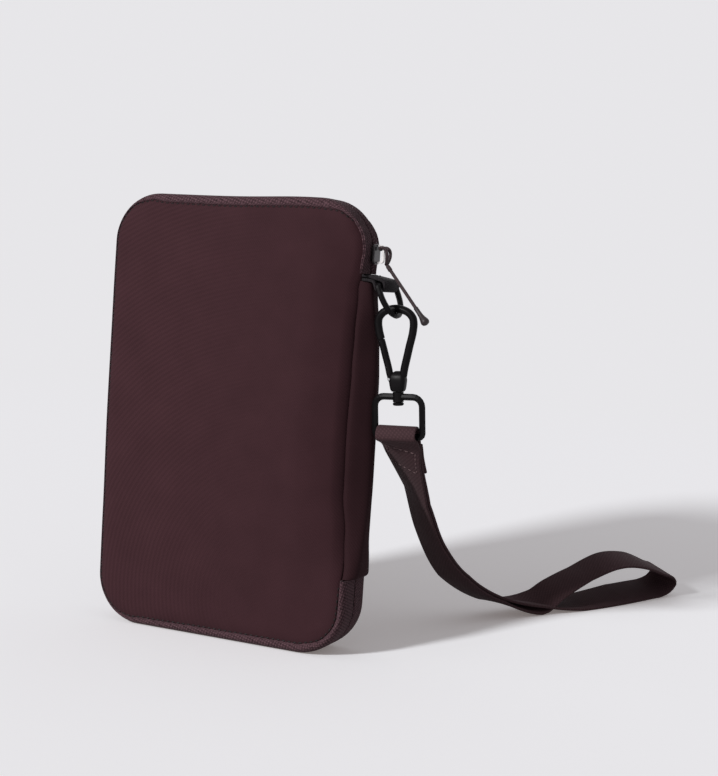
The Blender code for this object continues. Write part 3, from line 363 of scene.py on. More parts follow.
def settled(point):
    """A point of the true rounded box, moved to where the soft wallet's outline really runs."""
    x, y, z = point
    right = smoothstep(0.1, 0.95, x / HALF_WIDTH)
    left = smoothstep(0.3, 1.0, -x / HALF_WIDTH)
    top = smoothstep(0.6, 1.0, z / HEIGHT)
    shift = right * between(SIDE_LEAN, z) + left * between(LEFT_DRAW, z)
    rise = top * TOP_RISE * math.exp(-(((x - TOP_RISE_X) / TOP_RISE_SPAN) ** 2))
    pinch = FRONT_PINCH if y < 0 else BACK_PINCH
    pinch *= between(CORNER_PINCH, z) * smoothstep(0.2, 0.95, x / HALF_WIDTH)
    depth = y * (1 - pinch * smoothstep(0.0015, 0.0075, abs(y)))
    return Vector((x + shift, depth, z + rise))


def seam_inset(x, z):
    """How far in from the outline the cover's seam runs, seen from its middle in this direction."""
    angle = math.degrees(math.atan2(z - HEIGHT / 2, x)) % 360
    return between(SEAM_INSETS, angle)


def groove_share(x, z):
    return between(GROOVE_SHARES, z) * smoothstep(0.75, 0.97, x / HALF_WIDTH)


def seam_depth(x, z, inset, side):
    """How far the seam lies from the parting plane."""
    plain = SHOULDER_SEAM_Y + (SEAM_Y - SHOULDER_SEAM_Y) * smoothstep(*SHOULDER_INSETS, inset)
    return plain + (GROOVE_Y[side] - plain) * groove_share(x, z)


def plan(station, inset):
    """(x, z) so far in from the true rounded box's outline, on this station's ray."""
    centre_x, centre_z, dx, dz = station
    reach = CORNER_RADIUS - inset
    return centre_x + reach * dx, centre_z + reach * dz


def at_station(station, inset, y):
    x, z = plan(station, inset)
    return settled((x, y, z))


def station_seam(station, side):
    """(inset, depth) of the seam on this station's ray."""
    x, z = plan(station, 0.0)
    inset = seam_inset(x, z)
    return inset, seam_depth(x, z, inset, side)


# Meshes


def added(name, data):
    """An object of this data, in the scene."""
    obj = bpy.data.objects.new(name, data)
    bpy.context.scene.collection.objects.link(obj)
    return obj


def path_lengths(points):
    runs = [0.0]
    for first, second in zip(points, points[1:]):
        runs.append(runs[-1] + (Vector(second) - Vector(first)).length)
    return runs


def way_at(points, i, closed=False):
    """The direction of a line at one of its points."""
    if closed:
        return (points[(i + 1) % len(points)] - points[i - 1]).normalized()
    return (points[min(i + 1, len(points) - 1)] - points[max(i - 1, 0)]).normalized()


class Shape:
    """Points, faces and UVs gathered from several lofts, in the wallet's own frame."""

    def __init__(self):
        self.points = []
        self.faces = []
        self.uvs = []

    def loft(self, rings, closed_path=False, caps=True, u=None, v=None):
        """Faces between closed rings. U runs along the path and V round the ring."""
        base, count = len(self.points), len(rings[0])
        u = u or path_lengths([ring[0] for ring in rings])
        v = v or path_lengths(rings[0])
        for ring, along in zip(rings, u):
            self.points += [tuple(point) for point in ring]
            self.uvs += [(along, across) for across in v]
        spans = len(rings) if closed_path else len(rings) - 1
        for i in range(spans):
            row, following = base + i * count, base + (i + 1) % len(rings) * count
            for j in range(count):
                k = (j + 1) % count
                self.faces.append((row + j, row + k, following + k, following + j))
        if caps and not closed_path:
            last = base + (len(rings) - 1) * count
            self.faces.append(tuple(base + j for j in reversed(range(count))))
            self.faces.append(tuple(last + j for j in range(count)))

    def make(self, name, finish):
        """The gathered mesh as an object with smooth faces that point outwards."""
        mesh = bpy.data.meshes.new(name)
        mesh.from_pydata([(x, y - REST_Y, z) for x, y, z in self.points], [], self.faces)
        layer = mesh.uv_layers.new(name="UVMap")
        for loop in mesh.loops:
            layer.data[loop.index].uv = self.uvs[loop.vertex_index]
        mesh.validate()
        mesh.shade_smooth()
        mesh.set_sharp_from_angle(angle=SHARP_ANGLE)
        mesh.materials.append(finish)
        mesh.calc_loop_triangles()
        volume = 0.0
        for triangle in mesh.loop_triangles:
            a, b, c = (mesh.vertices[i].co for i in triangle.vertices)
            volume += a.dot(b.cross(c))
        obj = added(name, mesh)
        if volume < 0:
            mesh.flip_normals()
        return obj


def lofted(name, finish, rings, **options):
    """One loft as a piece."""
    shape = Shape()
    shape.loft(rings, **options)
    return shape.make(name, finish)


def curve_through(points, steps, closed=False):
    """Points of a centripetal Catmull-Rom curve through these points, with so many steps between two."""
    count = len(points)
    if closed:
        padded = [points[-1], *points, points[0], points[1]]
        spans = count
    else:
        padded = [2 * points[0] - points[1], *points, 2 * points[-1] - points[-2]]
        spans = count - 1
    found = []
    for i in range(spans):
        p0, p1, p2, p3 = padded[i : i + 4]
        t1 = (p1 - p0).length ** 0.5
        t2 = t1 + (p2 - p1).length ** 0.5
        t3 = t2 + (p3 - p2).length ** 0.5
        for step in range(steps):
            t = t1 + (t2 - t1) * step / steps
            a1 = p0.lerp(p1, t / t1)
            a2 = p1.lerp(p2, (t - t1) / (t2 - t1))
            a3 = p2.lerp(p3, (t - t2) / (t3 - t2))
            b1 = a1.lerp(a2, t / t2)
            b2 = a2.lerp(a3, (t - t1) / (t3 - t1))
            found.append(b1.lerp(b2, (t - t1) / (t2 - t1)))
    if not closed:
        found.append(points[-1].copy())
    return found


def round_ring(centre, first, second, radius, count):
    """Points of a circle in the plane of two directions square to each other."""
    turns = [2 * math.pi * k / count for k in range(count)]
    return [centre + (first * math.cos(turn) + second * math.sin(turn)) * radius for turn in turns]


def tube(shape, points, radius, sides=8, closed=False):
    """A round tube along the points, added to the shape."""
    side = way_at(points, 0, closed).orthogonal().normalized()
    rings = []
    for i, point in enumerate(points):
        along = way_at(points, i, closed)
        side = (side - along * side.dot(along)).normalized()
        rings.append(round_ring(point, side, along.cross(side), radius, sides))
    shape.loft(rings, closed_path=closed)


def stitch(shape, start, end, out):
    """One stitch: a short thread that dives into the cloth at both ends."""
    along = end - start
    across = along.cross(out).normalized()
    rings = []
    for share, swell, sink in STITCH_SHAPE:
        centre = start + along * share - out * (STITCH_RADIUS * sink)
        rings.append(round_ring(centre, across, out, STITCH_RADIUS * swell, 6))
    shape.loft(rings)


def stitch_line(shape, line, outs, pitch=STITCH_PITCH, length=STITCH_LENGTH, closed=False, hidden=None):
    """Stitches at an even pitch along a line. Outs are the directions out of the cloth at its points."""
    if closed:
        line, outs = line + line[:1], outs + outs[:1]
    runs = path_lengths(line)

    def at(run):
        for i, after in enumerate(runs[1:]):
            if run <= after:
                share = (run - runs[i]) / max(after - runs[i], 1e-9)
                return line[i].lerp(line[i + 1], share), outs[i].lerp(outs[i + 1], share).normalized()
        return line[-1], outs[-1]

    count = max(1, int(runs[-1] / pitch))
    for k in range(count):
        run = (k + 0.5) * runs[-1] / count - length / 2
        start, out = at(max(run, 0.0))
        end, _ = at(min(run + length, runs[-1]))
        if hidden is None or not hidden(start):
            stitch(shape, start, end, out)


def outline_stations(left, right, bottom, top, radius, corner_steps, spacing):
    """(centre x, centre z, direction x, direction z) round a rounded box, from the foot of its right side."""
    corners = (
        (right - radius, bottom + radius),
        (left + radius, bottom + radius),
        (left + radius, top - radius),
        (right - radius, top - radius),
    )
    stations = []
    for k, (x, z) in enumerate(corners):
        for turn in spread(-90 * k, -90 * (k + 1), corner_steps):
            way = unit(turn)
            stations.append((x, z, *way))
        next_x, next_z = corners[(k + 1) % 4]
        steps = max(1, round((abs(next_x - x) + abs(next_z - z)) / spacing))
        straight = zip(spread(x, next_x, steps), spread(z, next_z, steps))
        stations += [(*centre, *way) for centre in list(straight)[1:-1]]
    return stations


def box_stations():
    return outline_stations(-HALF_WIDTH, HALF_WIDTH, 0.0, HEIGHT, CORNER_RADIUS, CORNER_STEPS, STATION_STEP)


def zip_stations():
    """The zip's path: from the spine's foot round three sides to the tab at the spine's head."""
    whole = box_stations()
    x, low, high = HALF_WIDTH - CORNER_RADIUS, CORNER_RADIUS, HEIGHT - CORNER_RADIUS
    right_side = [s for s in whole if s[2] > 0.999 and low < s[1] < high]
    foot = [(x, z, 1, 0) for z in (SPINE_FOOT_Z - FIT_GAP, (SPINE_FOOT_Z + low) / 2)]
    head = [(x, z, 1, 0) for z in ((TAPE_HEAD_Z + high) / 2, TAPE_HEAD_Z)]
    return foot + whole[: len(whole) - len(right_side)] + head


# Cloth of the covers


def cover_height(x, z, side):
    """How far a cover's outer face stands from the parting plane, without the roll of its sewn edge."""
    across = max(0.0, 1 - (x / HALF_WIDTH) ** 2)
    up = max(0.0, 1 - ((z - HEIGHT / 2) / (HEIGHT / 2)) ** 2)
    uneven = noise.noise(Vector((x * 22, 1.7, z * 17))) * PANEL_UNEVEN
    crown = PANEL_CROWN * across**0.6 * up**0.5 + uneven * across * up
    edge = HALF_WIDTH - seam_inset(HALF_WIDTH, z)
    share = min(max(1 - (edge - x) / SPINE_ROLL, 0.0), 1.0)
    return HALF_DEPTH + crown - SPINE_DROP[side] * between(GROOVE_SHARES, z) * share**SPINE_ROLL_POWER


def roll_width(x, z):
    return EDGE_ROLL + (GROOVE_ROLL - EDGE_ROLL) * groove_share(x, z)


def rolled_height(x, z, side, run_in, width, seam_y):
    """The outer face so far in from the seam: a quarter round rises from the seam to the cover's height."""
    share = min(run_in / width, 1.0)
    full = cover_height(x, z, side)
    return seam_y + (full - seam_y) * math.sqrt(max(0.0, 1 - (1 - share) ** 2))


def panel_section(station, run, side):
    """The cover's cloth on this station's ray, from inside the wallet round the seam and in to the middle."""
    seam, seam_y = station_seam(station, side)
    width = roll_width(*plan(station, 0.0))

    def outer(run_in):
        return rolled_height(*plan(station, seam + run_in), side, run_in, width, seam_y)

    deep = (CORNER_RADIUS - seam) * 0.6
    section = [
        (deep, min(PANEL_FLOOR, cover_height(*plan(station, seam + deep), side) - 0.0012)),
        (UNDER_RUN, outer(UNDER_RUN) - PANEL_THICKNESS * 1.4),
        (0.0007, seam_y - 0.0005),
        (0.0001, seam_y - 0.00025),
    ]
    pucker = sum(share * math.sin(run * 2 * math.pi / pitch) for share, pitch in PUCKERS)
    for i in range(ROLL_STEPS + FLAT_STEPS):
        if i < ROLL_STEPS:
            run_in = width * (1 - math.cos(math.pi / 2 * i / ROLL_STEPS))
        else:
            run_in = width + (CORNER_RADIUS - seam - width) * (i - ROLL_STEPS) / FLAT_STEPS
        swell = pucker * PUCKER_HEIGHT * math.exp(-(((run_in - PUCKER_RUN) / PUCKER_SPAN) ** 2))
        section.append((run_in, outer(run_in) + swell))
    return [at_station(station, seam + run_in, side * y) for run_in, y in section]


def cover_panel(side, name, finish):
    """A padded cover, with its seam's line. Rings run in from the seam, and a grid fills the middle."""
    stations = box_stations()
    runs = path_lengths([at_station(s, PUCKER_INSET, 0) for s in stations])
    rings = list(zip(*(panel_section(s, run, side) for s, run in zip(stations, runs))))
    shape = Shape()
    shape.loft(rings, caps=False)
    count, start = len(stations), len(shape.points)
    half_x, low_z, high_z = HALF_WIDTH - CORNER_RADIUS, CORNER_RADIUS, HEIGHT - CORNER_RADIUS
    columns = round(2 * half_x / STATION_STEP)
    rows = round((high_z - low_z) / STATION_STEP)

    def grid_point(i, j):
        return start + i * (rows + 1) + j

    for x in spread(half_x, -half_x, columns):
        for z in spread(low_z, high_z, rows):
            shape.points.append(tuple(settled((x, side * cover_height(x, z, side), z))))
            shape.uvs.append((x, z))
    for i in range(columns):
        for j in range(rows):
            square = ((i, j), (i + 1, j), (i + 1, j + 1), (i, j + 1))
            shape.faces.append(tuple(grid_point(*corner) for corner in square))
    # each station of the last ring joins the grid point at its centre
    facing = []
    for x, z, *_ in stations:
        i, j = (half_x - x) / (2 * half_x) * columns, (z - low_z) / (high_z - low_z) * rows
        facing.append(grid_point(round(i), round(j)))
    for j in range(count):
        k = (j + 1) % count
        inner = (facing[j],) if facing[j] == facing[k] else (facing[k], facing[j])
        shape.faces.append((start - count + j, start - count + k, *inner))
    shape.faces.append(tuple(reversed(range(count))))
    panel = shape.make(name, finish)
    line, outs = [], []
    before, row, after = rings[STITCH_RING - 1 : STITCH_RING + 2]
    for j, spot in enumerate(row):
        out = way_at(row, j, closed=True).cross(after[j] - before[j]).normalized()
        out = out if out.y * side > 0 else -out
        line.append(spot + out * STITCH_LIFT)
        outs.append(out)
    return panel, line, outs


def thick(profile, thickness):
    """A closed profile: its outside as given, its inside a thickness to the right of its run."""
    line = [Vector(point) for point in profile]
    ways = [way_at(line, i) for i in range(len(line))]
    inside = [(a - way.y * thickness, b + way.x * thickness) for (a, b), way in zip(profile, ways)]
    return profile + inside[::-1]


def smooth_profile(points, steps=2):
    return [(p.x, p.y) for p in curve_through([Vector((a, b, 0)) for a, b in points], steps)]


def tape_profile(inset, seam_y):
    """(inset, y) from the seam over the soft shoulder to the slit."""
    low, high = TAPE_PEAK_Y
    peak = low + (high - low) * smoothstep(*SHOULDER_INSETS, inset)
    bulge = max(inset, LEAST_BULGE)
    return smooth_profile(
        [
            (inset + 0.00005, seam_y - 0.0009),
            (inset - 0.00005, seam_y + 0.0001),
            (inset - bulge * 0.18, seam_y + (peak - seam_y) * 0.75),
            (inset - bulge * 0.45, peak),
            (inset - bulge * 0.75, peak - 0.0009),
            (inset - bulge * 0.94, peak - 0.0026),
            (inset - bulge, 0.0066),
            (inset - bulge + 0.00002, 0.0035),
            (inset - bulge + 0.00006, 0.0009),
            (inset - bulge + 0.00035, 0.00038),
        ]
    )


def zip_tape(side, name, finish):
    rings = []
    for s in zip_stations():
        profile = thick(tape_profile(*station_seam(s, side)), TAPE_THICKNESS)
        rings.append([at_station(s, inset, side * y) for inset, y in profile])
    return lofted(name, finish, rings, u=path_lengths([ring[8] for ring in rings]))


def zip_coil(side, name, finish):
    """The teeth: one fine helix that follows the zip's path."""
    stations = zip_stations()
    centres = [at_station(s, COIL_INSET, side * COIL_Y) for s in stations]
    ways = [Vector((-s[2], 0, -s[3])) for s in stations]
    runs = path_lengths(centres)
    across = Vector((0, side, 0)) * COIL_RADIUS
    points = []
    k = 0
    for i in range(int((runs[-1] - 2 * COIL_END) / COIL_PITCH * COIL_STEPS)):
        run = COIL_END + i * COIL_PITCH / COIL_STEPS
        while runs[k + 1] < run:
            k += 1
        share = (run - runs[k]) / (runs[k + 1] - runs[k])
        inward = ways[k].lerp(ways[k + 1], share).normalized() * COIL_RADIUS * 0.8
        turn = 2 * math.pi * i / COIL_STEPS
        centre = centres[k].lerp(centres[k + 1], share)
        points.append(centre + inward * math.cos(turn) + across * math.sin(turn))
    shape = Shape()
    tube(shape, points, COIL_WIRE, sides=5)
    return shape.make(name, finish)


def spine_shoulder(z, side):
    """(x, distance from the parting plane) of the spine cloth, from this side's seam to the middle."""
    inset = seam_inset(HALF_WIDTH, z)
    groove = seam_depth(HALF_WIDTH, z, inset, side)
    peak = SPINE_HIGH_Y + (SPINE_PEAK_Y[side] - SPINE_HIGH_Y) * between(GROOVE_SHARES, z)
    start = HALF_WIDTH - inset + 0.00015
    span = SIDE_X - start
    upright = (
        (start + 0.00030, groove - 0.0013),
        (start, groove - 0.0001),
        (start + span * 0.06, groove + (peak - groove) * 0.62),
        (start + span * 0.30, peak),
        (start + span * 0.58, peak * 0.93),
        (start + span * 0.85, peak * 0.74),
        (start + span * 0.97, peak * 0.50),
        (SIDE_X, peak * 0.22),
        (SIDE_X, 0.0),
    )
    slant = side * SPINE_SLANT * between(SLANT_HEIGHTS, z)
    return smooth_profile([(x, y + slant * share) for (x, y), share in zip(upright, SLANT_SHARES[side])])


def spine_profile(z):
    """(x, y) of the spine cloth's outside at this height, from the front seam round to the back one."""
    front, back = spine_shoulder(z, -1), spine_shoulder(z, 1)
    return [(x, -y) for x, y in front] + [(x, y) for x, y in reversed(back[:-1])]


def spine_point(x, y, z):
    """A point of the spine cloth, which flares at its foot and reaches highest beside the tab."""
    collar = SPINE_COLLAR * smoothstep(SPINE_COLLAR_Y - 0.0005, SPINE_COLLAR_Y, abs(y))
    high = z + collar * smoothstep(SPINE_HEAD_Z - 0.008, SPINE_HEAD_Z, z)
    point = settled((x, y, high))
    point.x += SPINE_FOOT_FLARE * (1 - smoothstep(SPINE_FOOT_Z, SPINE_FOOT_Z + 0.02, high))
    return point


def spine_cloth(name, finish):
    """The side panel: a soft channel whose long edges roll into the seams, with a hem at both ends."""
    rims = [0.0, SPINE_HEM * 0.25, SPINE_HEM * 0.7, SPINE_HEM]
    levels = [SPINE_FOOT_Z + rim for rim in rims]
    levels += spread(SPINE_FOOT_Z, SPINE_HEAD_Z, 44)[1:-1]
    levels += [SPINE_HEAD_Z - rim for rim in reversed(rims)]
    rings = []
    for z in levels:
        share = (z - SPINE_FOOT_Z) / (SPINE_HEAD_Z - SPINE_FOOT_Z)
        end = min(z - SPINE_FOOT_Z, SPINE_HEAD_Z - z)
        round_off = 0.0006 * (1 - math.sqrt(max(0.0, 1 - (1 - min(end / SPINE_HEM, 1.0)) ** 2)))
        crown = SPINE_CROWN * math.sin(math.pi * share) - round_off
        outside = []
        for x, y in spine_profile(z):
            wrinkle = noise.noise(Vector((y * 90, z * 26, 4.1))) * SPINE_WRINKLE
            outside.append((x + smoothstep(0.0600, 0.0635, x) * (crown + wrinkle), y))
        rings.append([spine_point(x, y, z) for x, y in thick(outside, -SPINE_THICKNESS)])
    return lofted(name, finish, rings, u=levels)


def standing_strip(name, section, margin, finish):
    """Cloth of this closed section, as high as the spine less a margin at both ends."""
    levels = spread(SPINE_FOOT_Z + margin, SPINE_HEAD_Z - margin, 24)
    return lofted(name, finish, [[settled((x, y, z)) for x, y in section] for z in levels])


def fold_strip(name, outline, side, finish):
    """A narrow strip of cloth across a fold, which bends over its x range between cover and spine."""
    fine = []
    for (x0, y0), (x1, y1) in zip(outline, outline[1:]):
        fine += list(zip(spread(x0, x1, 6), spread(y0, y1, 6)))[:-1]
    fine.append(outline[-1])
    section = [(x, side * y) for x, y in fine]
    section += [(x, side * (y - FOLD_THICKNESS)) for x, y in reversed(fine)]
    strip = standing_strip(name, section, FOLD_MARGIN, finish)
    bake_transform(strip)


def flat_cloth(name, inset, right, middle_y, thickness, side, finish, waves=0.0):
    """A flat piece of cloth or foam: shrinking rings on both faces and a rounded edge between them."""
    left, bottom, top = inset - HALF_WIDTH, inset, HEIGHT - inset
    radius = CORNER_RADIUS - inset
    stations = outline_stations(left, right, bottom, top, radius, 6, FLAT_SPACING)
    outline = [(x + radius * dx, z + radius * dz) for x, z, dx, dz in stations]
    centre_x, centre_z = (left + right) / 2, (bottom + top) / 2
    shares = [1.0 - 0.0016 / (right - centre_x), 0.86, 0.7, 0.52, 0.34, 0.16]
    half = thickness / 2
    layers = [(s, half) for s in reversed(shares)]
    layers += [(1.0, half * 0.5), (1.0, -half * 0.5)]
    layers += [(s, -half) for s in shares]
    rings = []
    for share, lift in layers:
        ring = []
        for x, z in outline:
            px = centre_x + (x - centre_x) * share
            pz = centre_z + (z - centre_z) * share
            wave = noise.noise(Vector((px * 45, middle_y * 900, pz * 38))) * waves * (1 - share**6)
            ring.append(settled((px, side * (middle_y + lift + wave), pz)))
        rings.append(ring)
    return lofted(name, finish, rings)


def pocket(name, top, layer, side, finish, thread):
    """A pocket's cloth with its folded top hem, and the stitches that hold it."""
    middle = LINING_Y - POCKET_STEP * (layer + 1)
    left, right, bottom = POCKET_MARGIN - HALF_WIDTH, POCKET_RIGHT, POCKET_MARGIN
    radius = CORNER_RADIUS - POCKET_MARGIN
    hem = top - HEM_HEIGHT
    levels = [(z, 0.00028) for z in spread(bottom, hem, 20)]
    levels += [(hem + 0.0004, 0.00038), (hem + HEM_HEIGHT * 0.5, 0.00040)]
    levels += [(top - 0.0005, 0.00034), (top - 0.0001, 0.00012)]
    rings = []
    for z, half in levels:
        low = max(0.0, radius - (z - bottom))
        cut = radius - math.sqrt(max(radius**2 - low**2, 0.0))
        fronts, backs = [], []
        for x in spread(left + cut, right - cut, 24):
            wave = noise.noise(Vector((x * 60, layer * 3.3 + side, z * 50))) * POCKET_WAVE
            fronts.append(settled((x, side * (middle - half + wave), z)))
            backs.append(settled((x, side * (middle + half + wave), z)))
        rings.append(fronts + backs[::-1])
    cloth = lofted(name, finish, rings)
    threads = Shape()
    spots = spread(left + 0.002, right - 0.002, 30)
    row = [settled((x, side * (middle - 0.0004), hem + 0.0012)) for x in spots]
    stitch_line(threads, row, [Vector((0, -side, 0))] * len(row), pitch=0.0030, length=0.0020)
    seam = threads.make(name + "_stitches", thread)
    seam.parent = cloth
    return cloth


# Tab, pull and strap


def rounded_box(half_width, half_depth, edge, steps):
    """Points round a rectangle with round corners about the origin."""
    points = []
    for k, (sign_u, sign_v) in enumerate(((1, 1), (-1, 1), (-1, -1), (1, -1))):
        for turn in spread(90 * k, 90 * (k + 1), steps):
            across, up = unit(turn)
            u = sign_u * (half_width - edge) + edge * across
            points.append((u, sign_v * (half_depth - edge) + edge * up))
    return points


def webbing(name, finish, rings, runs, section, **options):
    """A loft of this cross-section, whose running width is the V of its weave."""
    return lofted(name, finish, rings, u=runs, v=[u for u, _ in section], **options)


STRAP_SECTION = rounded_box(STRAP_WIDTH / 2, STRAP_THICKNESS / 2, STRAP_EDGE, 2)


def direction(azimuth, slope):
    """The direction at these angles in degrees."""
    (across, through), (flat, up) = unit(azimuth), unit(slope)
    return Vector((flat * across, flat * through, up))


def route_point(x_share, y_share, z_share):
    across = Vector((x_share, y_share, 0)) * STRAP_LENGTH
    return Vector((STRAP_BAR.x + across.x, STRAP_BAR.y + across.y, STRAP_BAR.z * z_share))


def doubled_stations():
    """(centre, width direction, upward normal, half spacing) down the doubled webbing."""
    centres = [route_point(x, y, z) for x, y, z, *_ in STRAP_DOUBLED_SHARES]
    stations = []
    for i, (_, _, _, spacing, azimuth, slope) in enumerate(STRAP_DOUBLED_SHARES):
        width = direction(azimuth, slope)
        normal = width.cross(way_at(centres, i)).normalized()
        half = STRAP_WRAP_RADIUS if i == 0 else STRAP_HALF_SPACING * spacing
        stations.append((centres[i], width, normal, half))
    return stations


def strap_route():
    """(centre, width direction) once round the webbing, from the ring's bar to the loop and back."""
    stations = doubled_stations()
    bar, bar_width, bar_normal, wrap = stations[0]
    split, _, split_normal, split_half = stations[-1]
    away = bar_normal.cross(bar_width)
    route = []
    for outward, sideways in (unit(turn) for turn in (-45, 0, 45)):
        way = -bar_normal * sideways - away * outward
        route.append((bar + way * (wrap + STRAP_WRAP_SLACK * outward), bar_width))
    route += [(centre - normal * half, width) for centre, width, normal, half in stations]
    route += [(route_point(x, y, z), direction(az, slope)) for x, y, z, az, slope in STRAP_LOOP_SHARES]
    route.append((split + split_normal * split_half + Vector((0, 0, SPLIT_LIFT)), direction(*SPLIT_TILT)))
    route += [(centre + normal * half, width) for centre, width, normal, half in reversed(stations[:-1])]
    return route


def webbing_ring(centre, width, along):
    """The strap's cross-section at this centre, raised to the floor where it would pass through."""
    across = (width - along * width.dot(along)).normalized()
    through = along.cross(across)
    lowest = STRAP_WIDTH / 2 * abs(across.z) + STRAP_THICKNESS / 2 * abs(through.z)
    centre = Vector((centre.x, centre.y, max(centre.z, lowest)))
    return [centre + across * u + through * v for u, v in STRAP_SECTION], centre


def wrist_strap(finish):
    route = strap_route()
    centres = curve_through([centre for centre, _ in route], STRAP_STEPS, closed=True)
    widths = []
    for i, (_, width) in enumerate(route):
        following = route[(i + 1) % len(route)][1]
        widths += [width.lerp(following, step / STRAP_STEPS) for step in range(STRAP_STEPS)]
    kept = [0]
    for i, centre in enumerate(centres[1:], 1):
        spaced = (centre - centres[kept[-1]]).length
        bend = (centre - STRAP_BAR).length < 2 * STRAP_WRAP_RADIUS
        if spaced > STRAP_SECTION_STEP or (bend and spaced > STRAP_SECTION_STEP / 5):
            kept.append(i)
    sections = [webbing_ring(centres[i], widths[i], way_at(centres, i, closed=True)) for i in kept]
    rings, middles = zip(*sections)
    return webbing("strap_webbing", finish, rings, path_lengths(middles), STRAP_SECTION, closed_path=True)


def lap_line():
    """(run, centre, width, along, normal, half spacing) down the doubled webbing, from its second point."""
    stations = doubled_stations()
    line = curve_through([centre for centre, *_ in stations], STRAP_STEPS)
    runs = path_lengths(line)
    found = []
    for i, centre in enumerate(line[1:-1], 1):
        k, step = divmod(i, STRAP_STEPS)
        (_, width, _, half), (_, next_width, _, next_half) = stations[k : k + 2]
        share = step / STRAP_STEPS
        width = width.lerp(next_width, share)
        along = way_at(line, i)
        normal = width.cross(along).normalized()
        found.append((runs[i], centre, width, along, normal, half + (next_half - half) * share))
    return found


def strap_lap(finish, thread):
    """The webbing's sewn end, with the box of stitches that holds it, seen on both outer faces."""
    start, end = STRAP_LAP_START, STRAP_LAP_START + STRAP_LAP_LENGTH
    rings, runs, rows = [], [], {1: [], -1: []}
    for run, centre, width, along, normal, half in lap_line():
        if start < run < end:
            lapped = centre - normal * (half + 2 * STRAP_HALF_SPACING)
            rings.append(webbing_ring(lapped, width, along)[0])
            runs.append(run)
        if start + STRAP_SEAM_MARGIN < run < end - STRAP_SEAM_MARGIN:
            across = (width - along * width.dot(along)).normalized()
            for face, layers in ((1, 0), (-1, 2)):
                lift = half + layers * STRAP_HALF_SPACING + STRAP_THICKNESS / 2
                rows[face].append((centre + normal * (face * lift), across, normal * face))
    lap = webbing("strap_sewn_end", finish, rings, runs, STRAP_SECTION)
    threads = Shape()
    reach = STRAP_WIDTH / 2 - STRAP_SEAM_INSET
    for row in rows.values():
        for sign in (1, -1):
            line = [centre + across * (sign * reach) for centre, across, _ in row]
            stitch_line(threads, line, [out for _, _, out in row], STRAP_STITCH_PITCH)
        for centre, across, out in (row[0], row[-1]):
            line = [centre + across * share for share in spread(reach, -reach, 10)]
            stitch_line(threads, line, [out] * len(line), STRAP_STITCH_PITCH)
    return lap, threads.make("strap_stitches", thread)


def fabric_tab(finish, thread):
    """Folded webbing round the D-ring's bar, its tail sewn into the side above the spine cloth."""
    middle = D_WIRE_RADIUS + FIT_GAP + TAB_PLY / 2
    path = [Vector((x, 0, z)) for x, z in TAB_UPPER_TAIL]
    for dx, dz in (unit(turn) for turn in range(80, -161, -20)):
        path.append(D_BAR + Vector((dx, 0, dz)) * middle)
    path += [Vector((x, 0, z)) for x, z in TAB_LOWER_TAIL]
    line = curve_through(path, 3)
    section = rounded_box(TAB_WIDTH / 2, TAB_PLY / 2, TAB_EDGE, 2)
    across = Vector((0, 1, 0))
    rings = []
    for i, centre in enumerate(line):
        through = way_at(line, i).cross(across)
        wide = TAB_TAIL_SHARE + (1 - TAB_TAIL_SHARE) * smoothstep(*TAB_SPREAD_X, centre.x)
        rings.append([centre + across * (u * wide) + through * v for u, v in section])
    tab = webbing("tab_webbing", finish, rings, path_lengths(line), section)
    threads = Shape()
    reach = TAB_WIDTH * TAB_TAIL_SHARE / 2 - TAB_SEAM_INSET
    for x in TAB_SEAM_X:
        row = [Vector((x, y, TAB_SEAM_Z)) for y in spread(reach, -reach, 8)]
        stitch_line(threads, row, [Vector((0, 0, 1))] * len(row), pitch=0.0022, length=0.0016)
    return tab, threads.make("tab_stitches", thread)


def clip_point(x, z, y=0.0):
    return CLIP_TOP + CLIP_X * x + CLIP_Y * y + CLIP_Z * z


def clip_arch():
    """(x, z) points down the clip's wire, from the foot of the gate's arm over the top to the other foot."""
    right = [Vector((x * CLIP_HALF_WIDTH, -z * CLIP_DROP, 0)) for x, z in CLIP_SHARES]
    left = [Vector((-p.x, p.y, 0)) for p in reversed(right[1:])]
    return [(p.x - CLIP_SHIFT, p.y) for p in curve_through(left + right, 20)]


def clip_pieces(finish, steel):
    """The snap clip: hook and knuckle in one, and the gate that closes its left arm."""
    arch = clip_arch()
    nose = -CLIP_DROP * CLIP_NOSE_SHARE
    hook = Shape()
    kept = [(x, z) for x, z in arch if x > 0 or z > nose + GATE_PLAY]
    tube(hook, [clip_point(x, z) for x, z in kept], CLIP_WIRE / 2, sides=14)
    rings = []
    for z, half_width, half_depth in KNUCKLE_LEVELS:
        outline = rounded_box(half_width, half_depth, half_depth * 0.62, 4)
        rings.append([clip_point(x, z, y) for x, y in outline])
    hook.loft(rings)
    hook_piece = hook.make("clip_hook_body", finish)
    gate = Shape()
    kept = [(x, z) for x, z in reversed(arch) if x < 0 and nose - GATE_PLAY > z > -CLIP_DROP * 0.99]
    line = [clip_point(x, z) for x, z in kept] + [clip_point(*GATE_PIVOT)]
    tube(gate, line, GATE_WIRE / 2, sides=14)
    tongue = line[0] + (line[0] - line[3]).normalized() * GATE_TONGUE
    tube(gate, [tongue, line[0], line[3]], GATE_WIRE * 0.38, sides=12)
    eyes = [clip_point(*GATE_PIVOT, y) for y in (-GATE_EYE_DEPTH / 2, GATE_EYE_DEPTH / 2)]
    gate.loft([round_ring(eye, CLIP_X, CLIP_Z, GATE_EYE, 16) for eye in eyes])
    gate_piece = gate.make("clip_gate_body", finish)
    rivet = Shape()
    x, z = kept[0]
    line = [clip_point(x * 0.99, z - RIVET_DROP, y) for y in RIVET_DEPTHS]
    tube(rivet, line, RIVET_RADIUS, sides=10)
    rivet_piece = rivet.make("clip_gate_rivet", steel)
    rivet_piece.parent = gate_piece
    return hook_piece, gate_piece


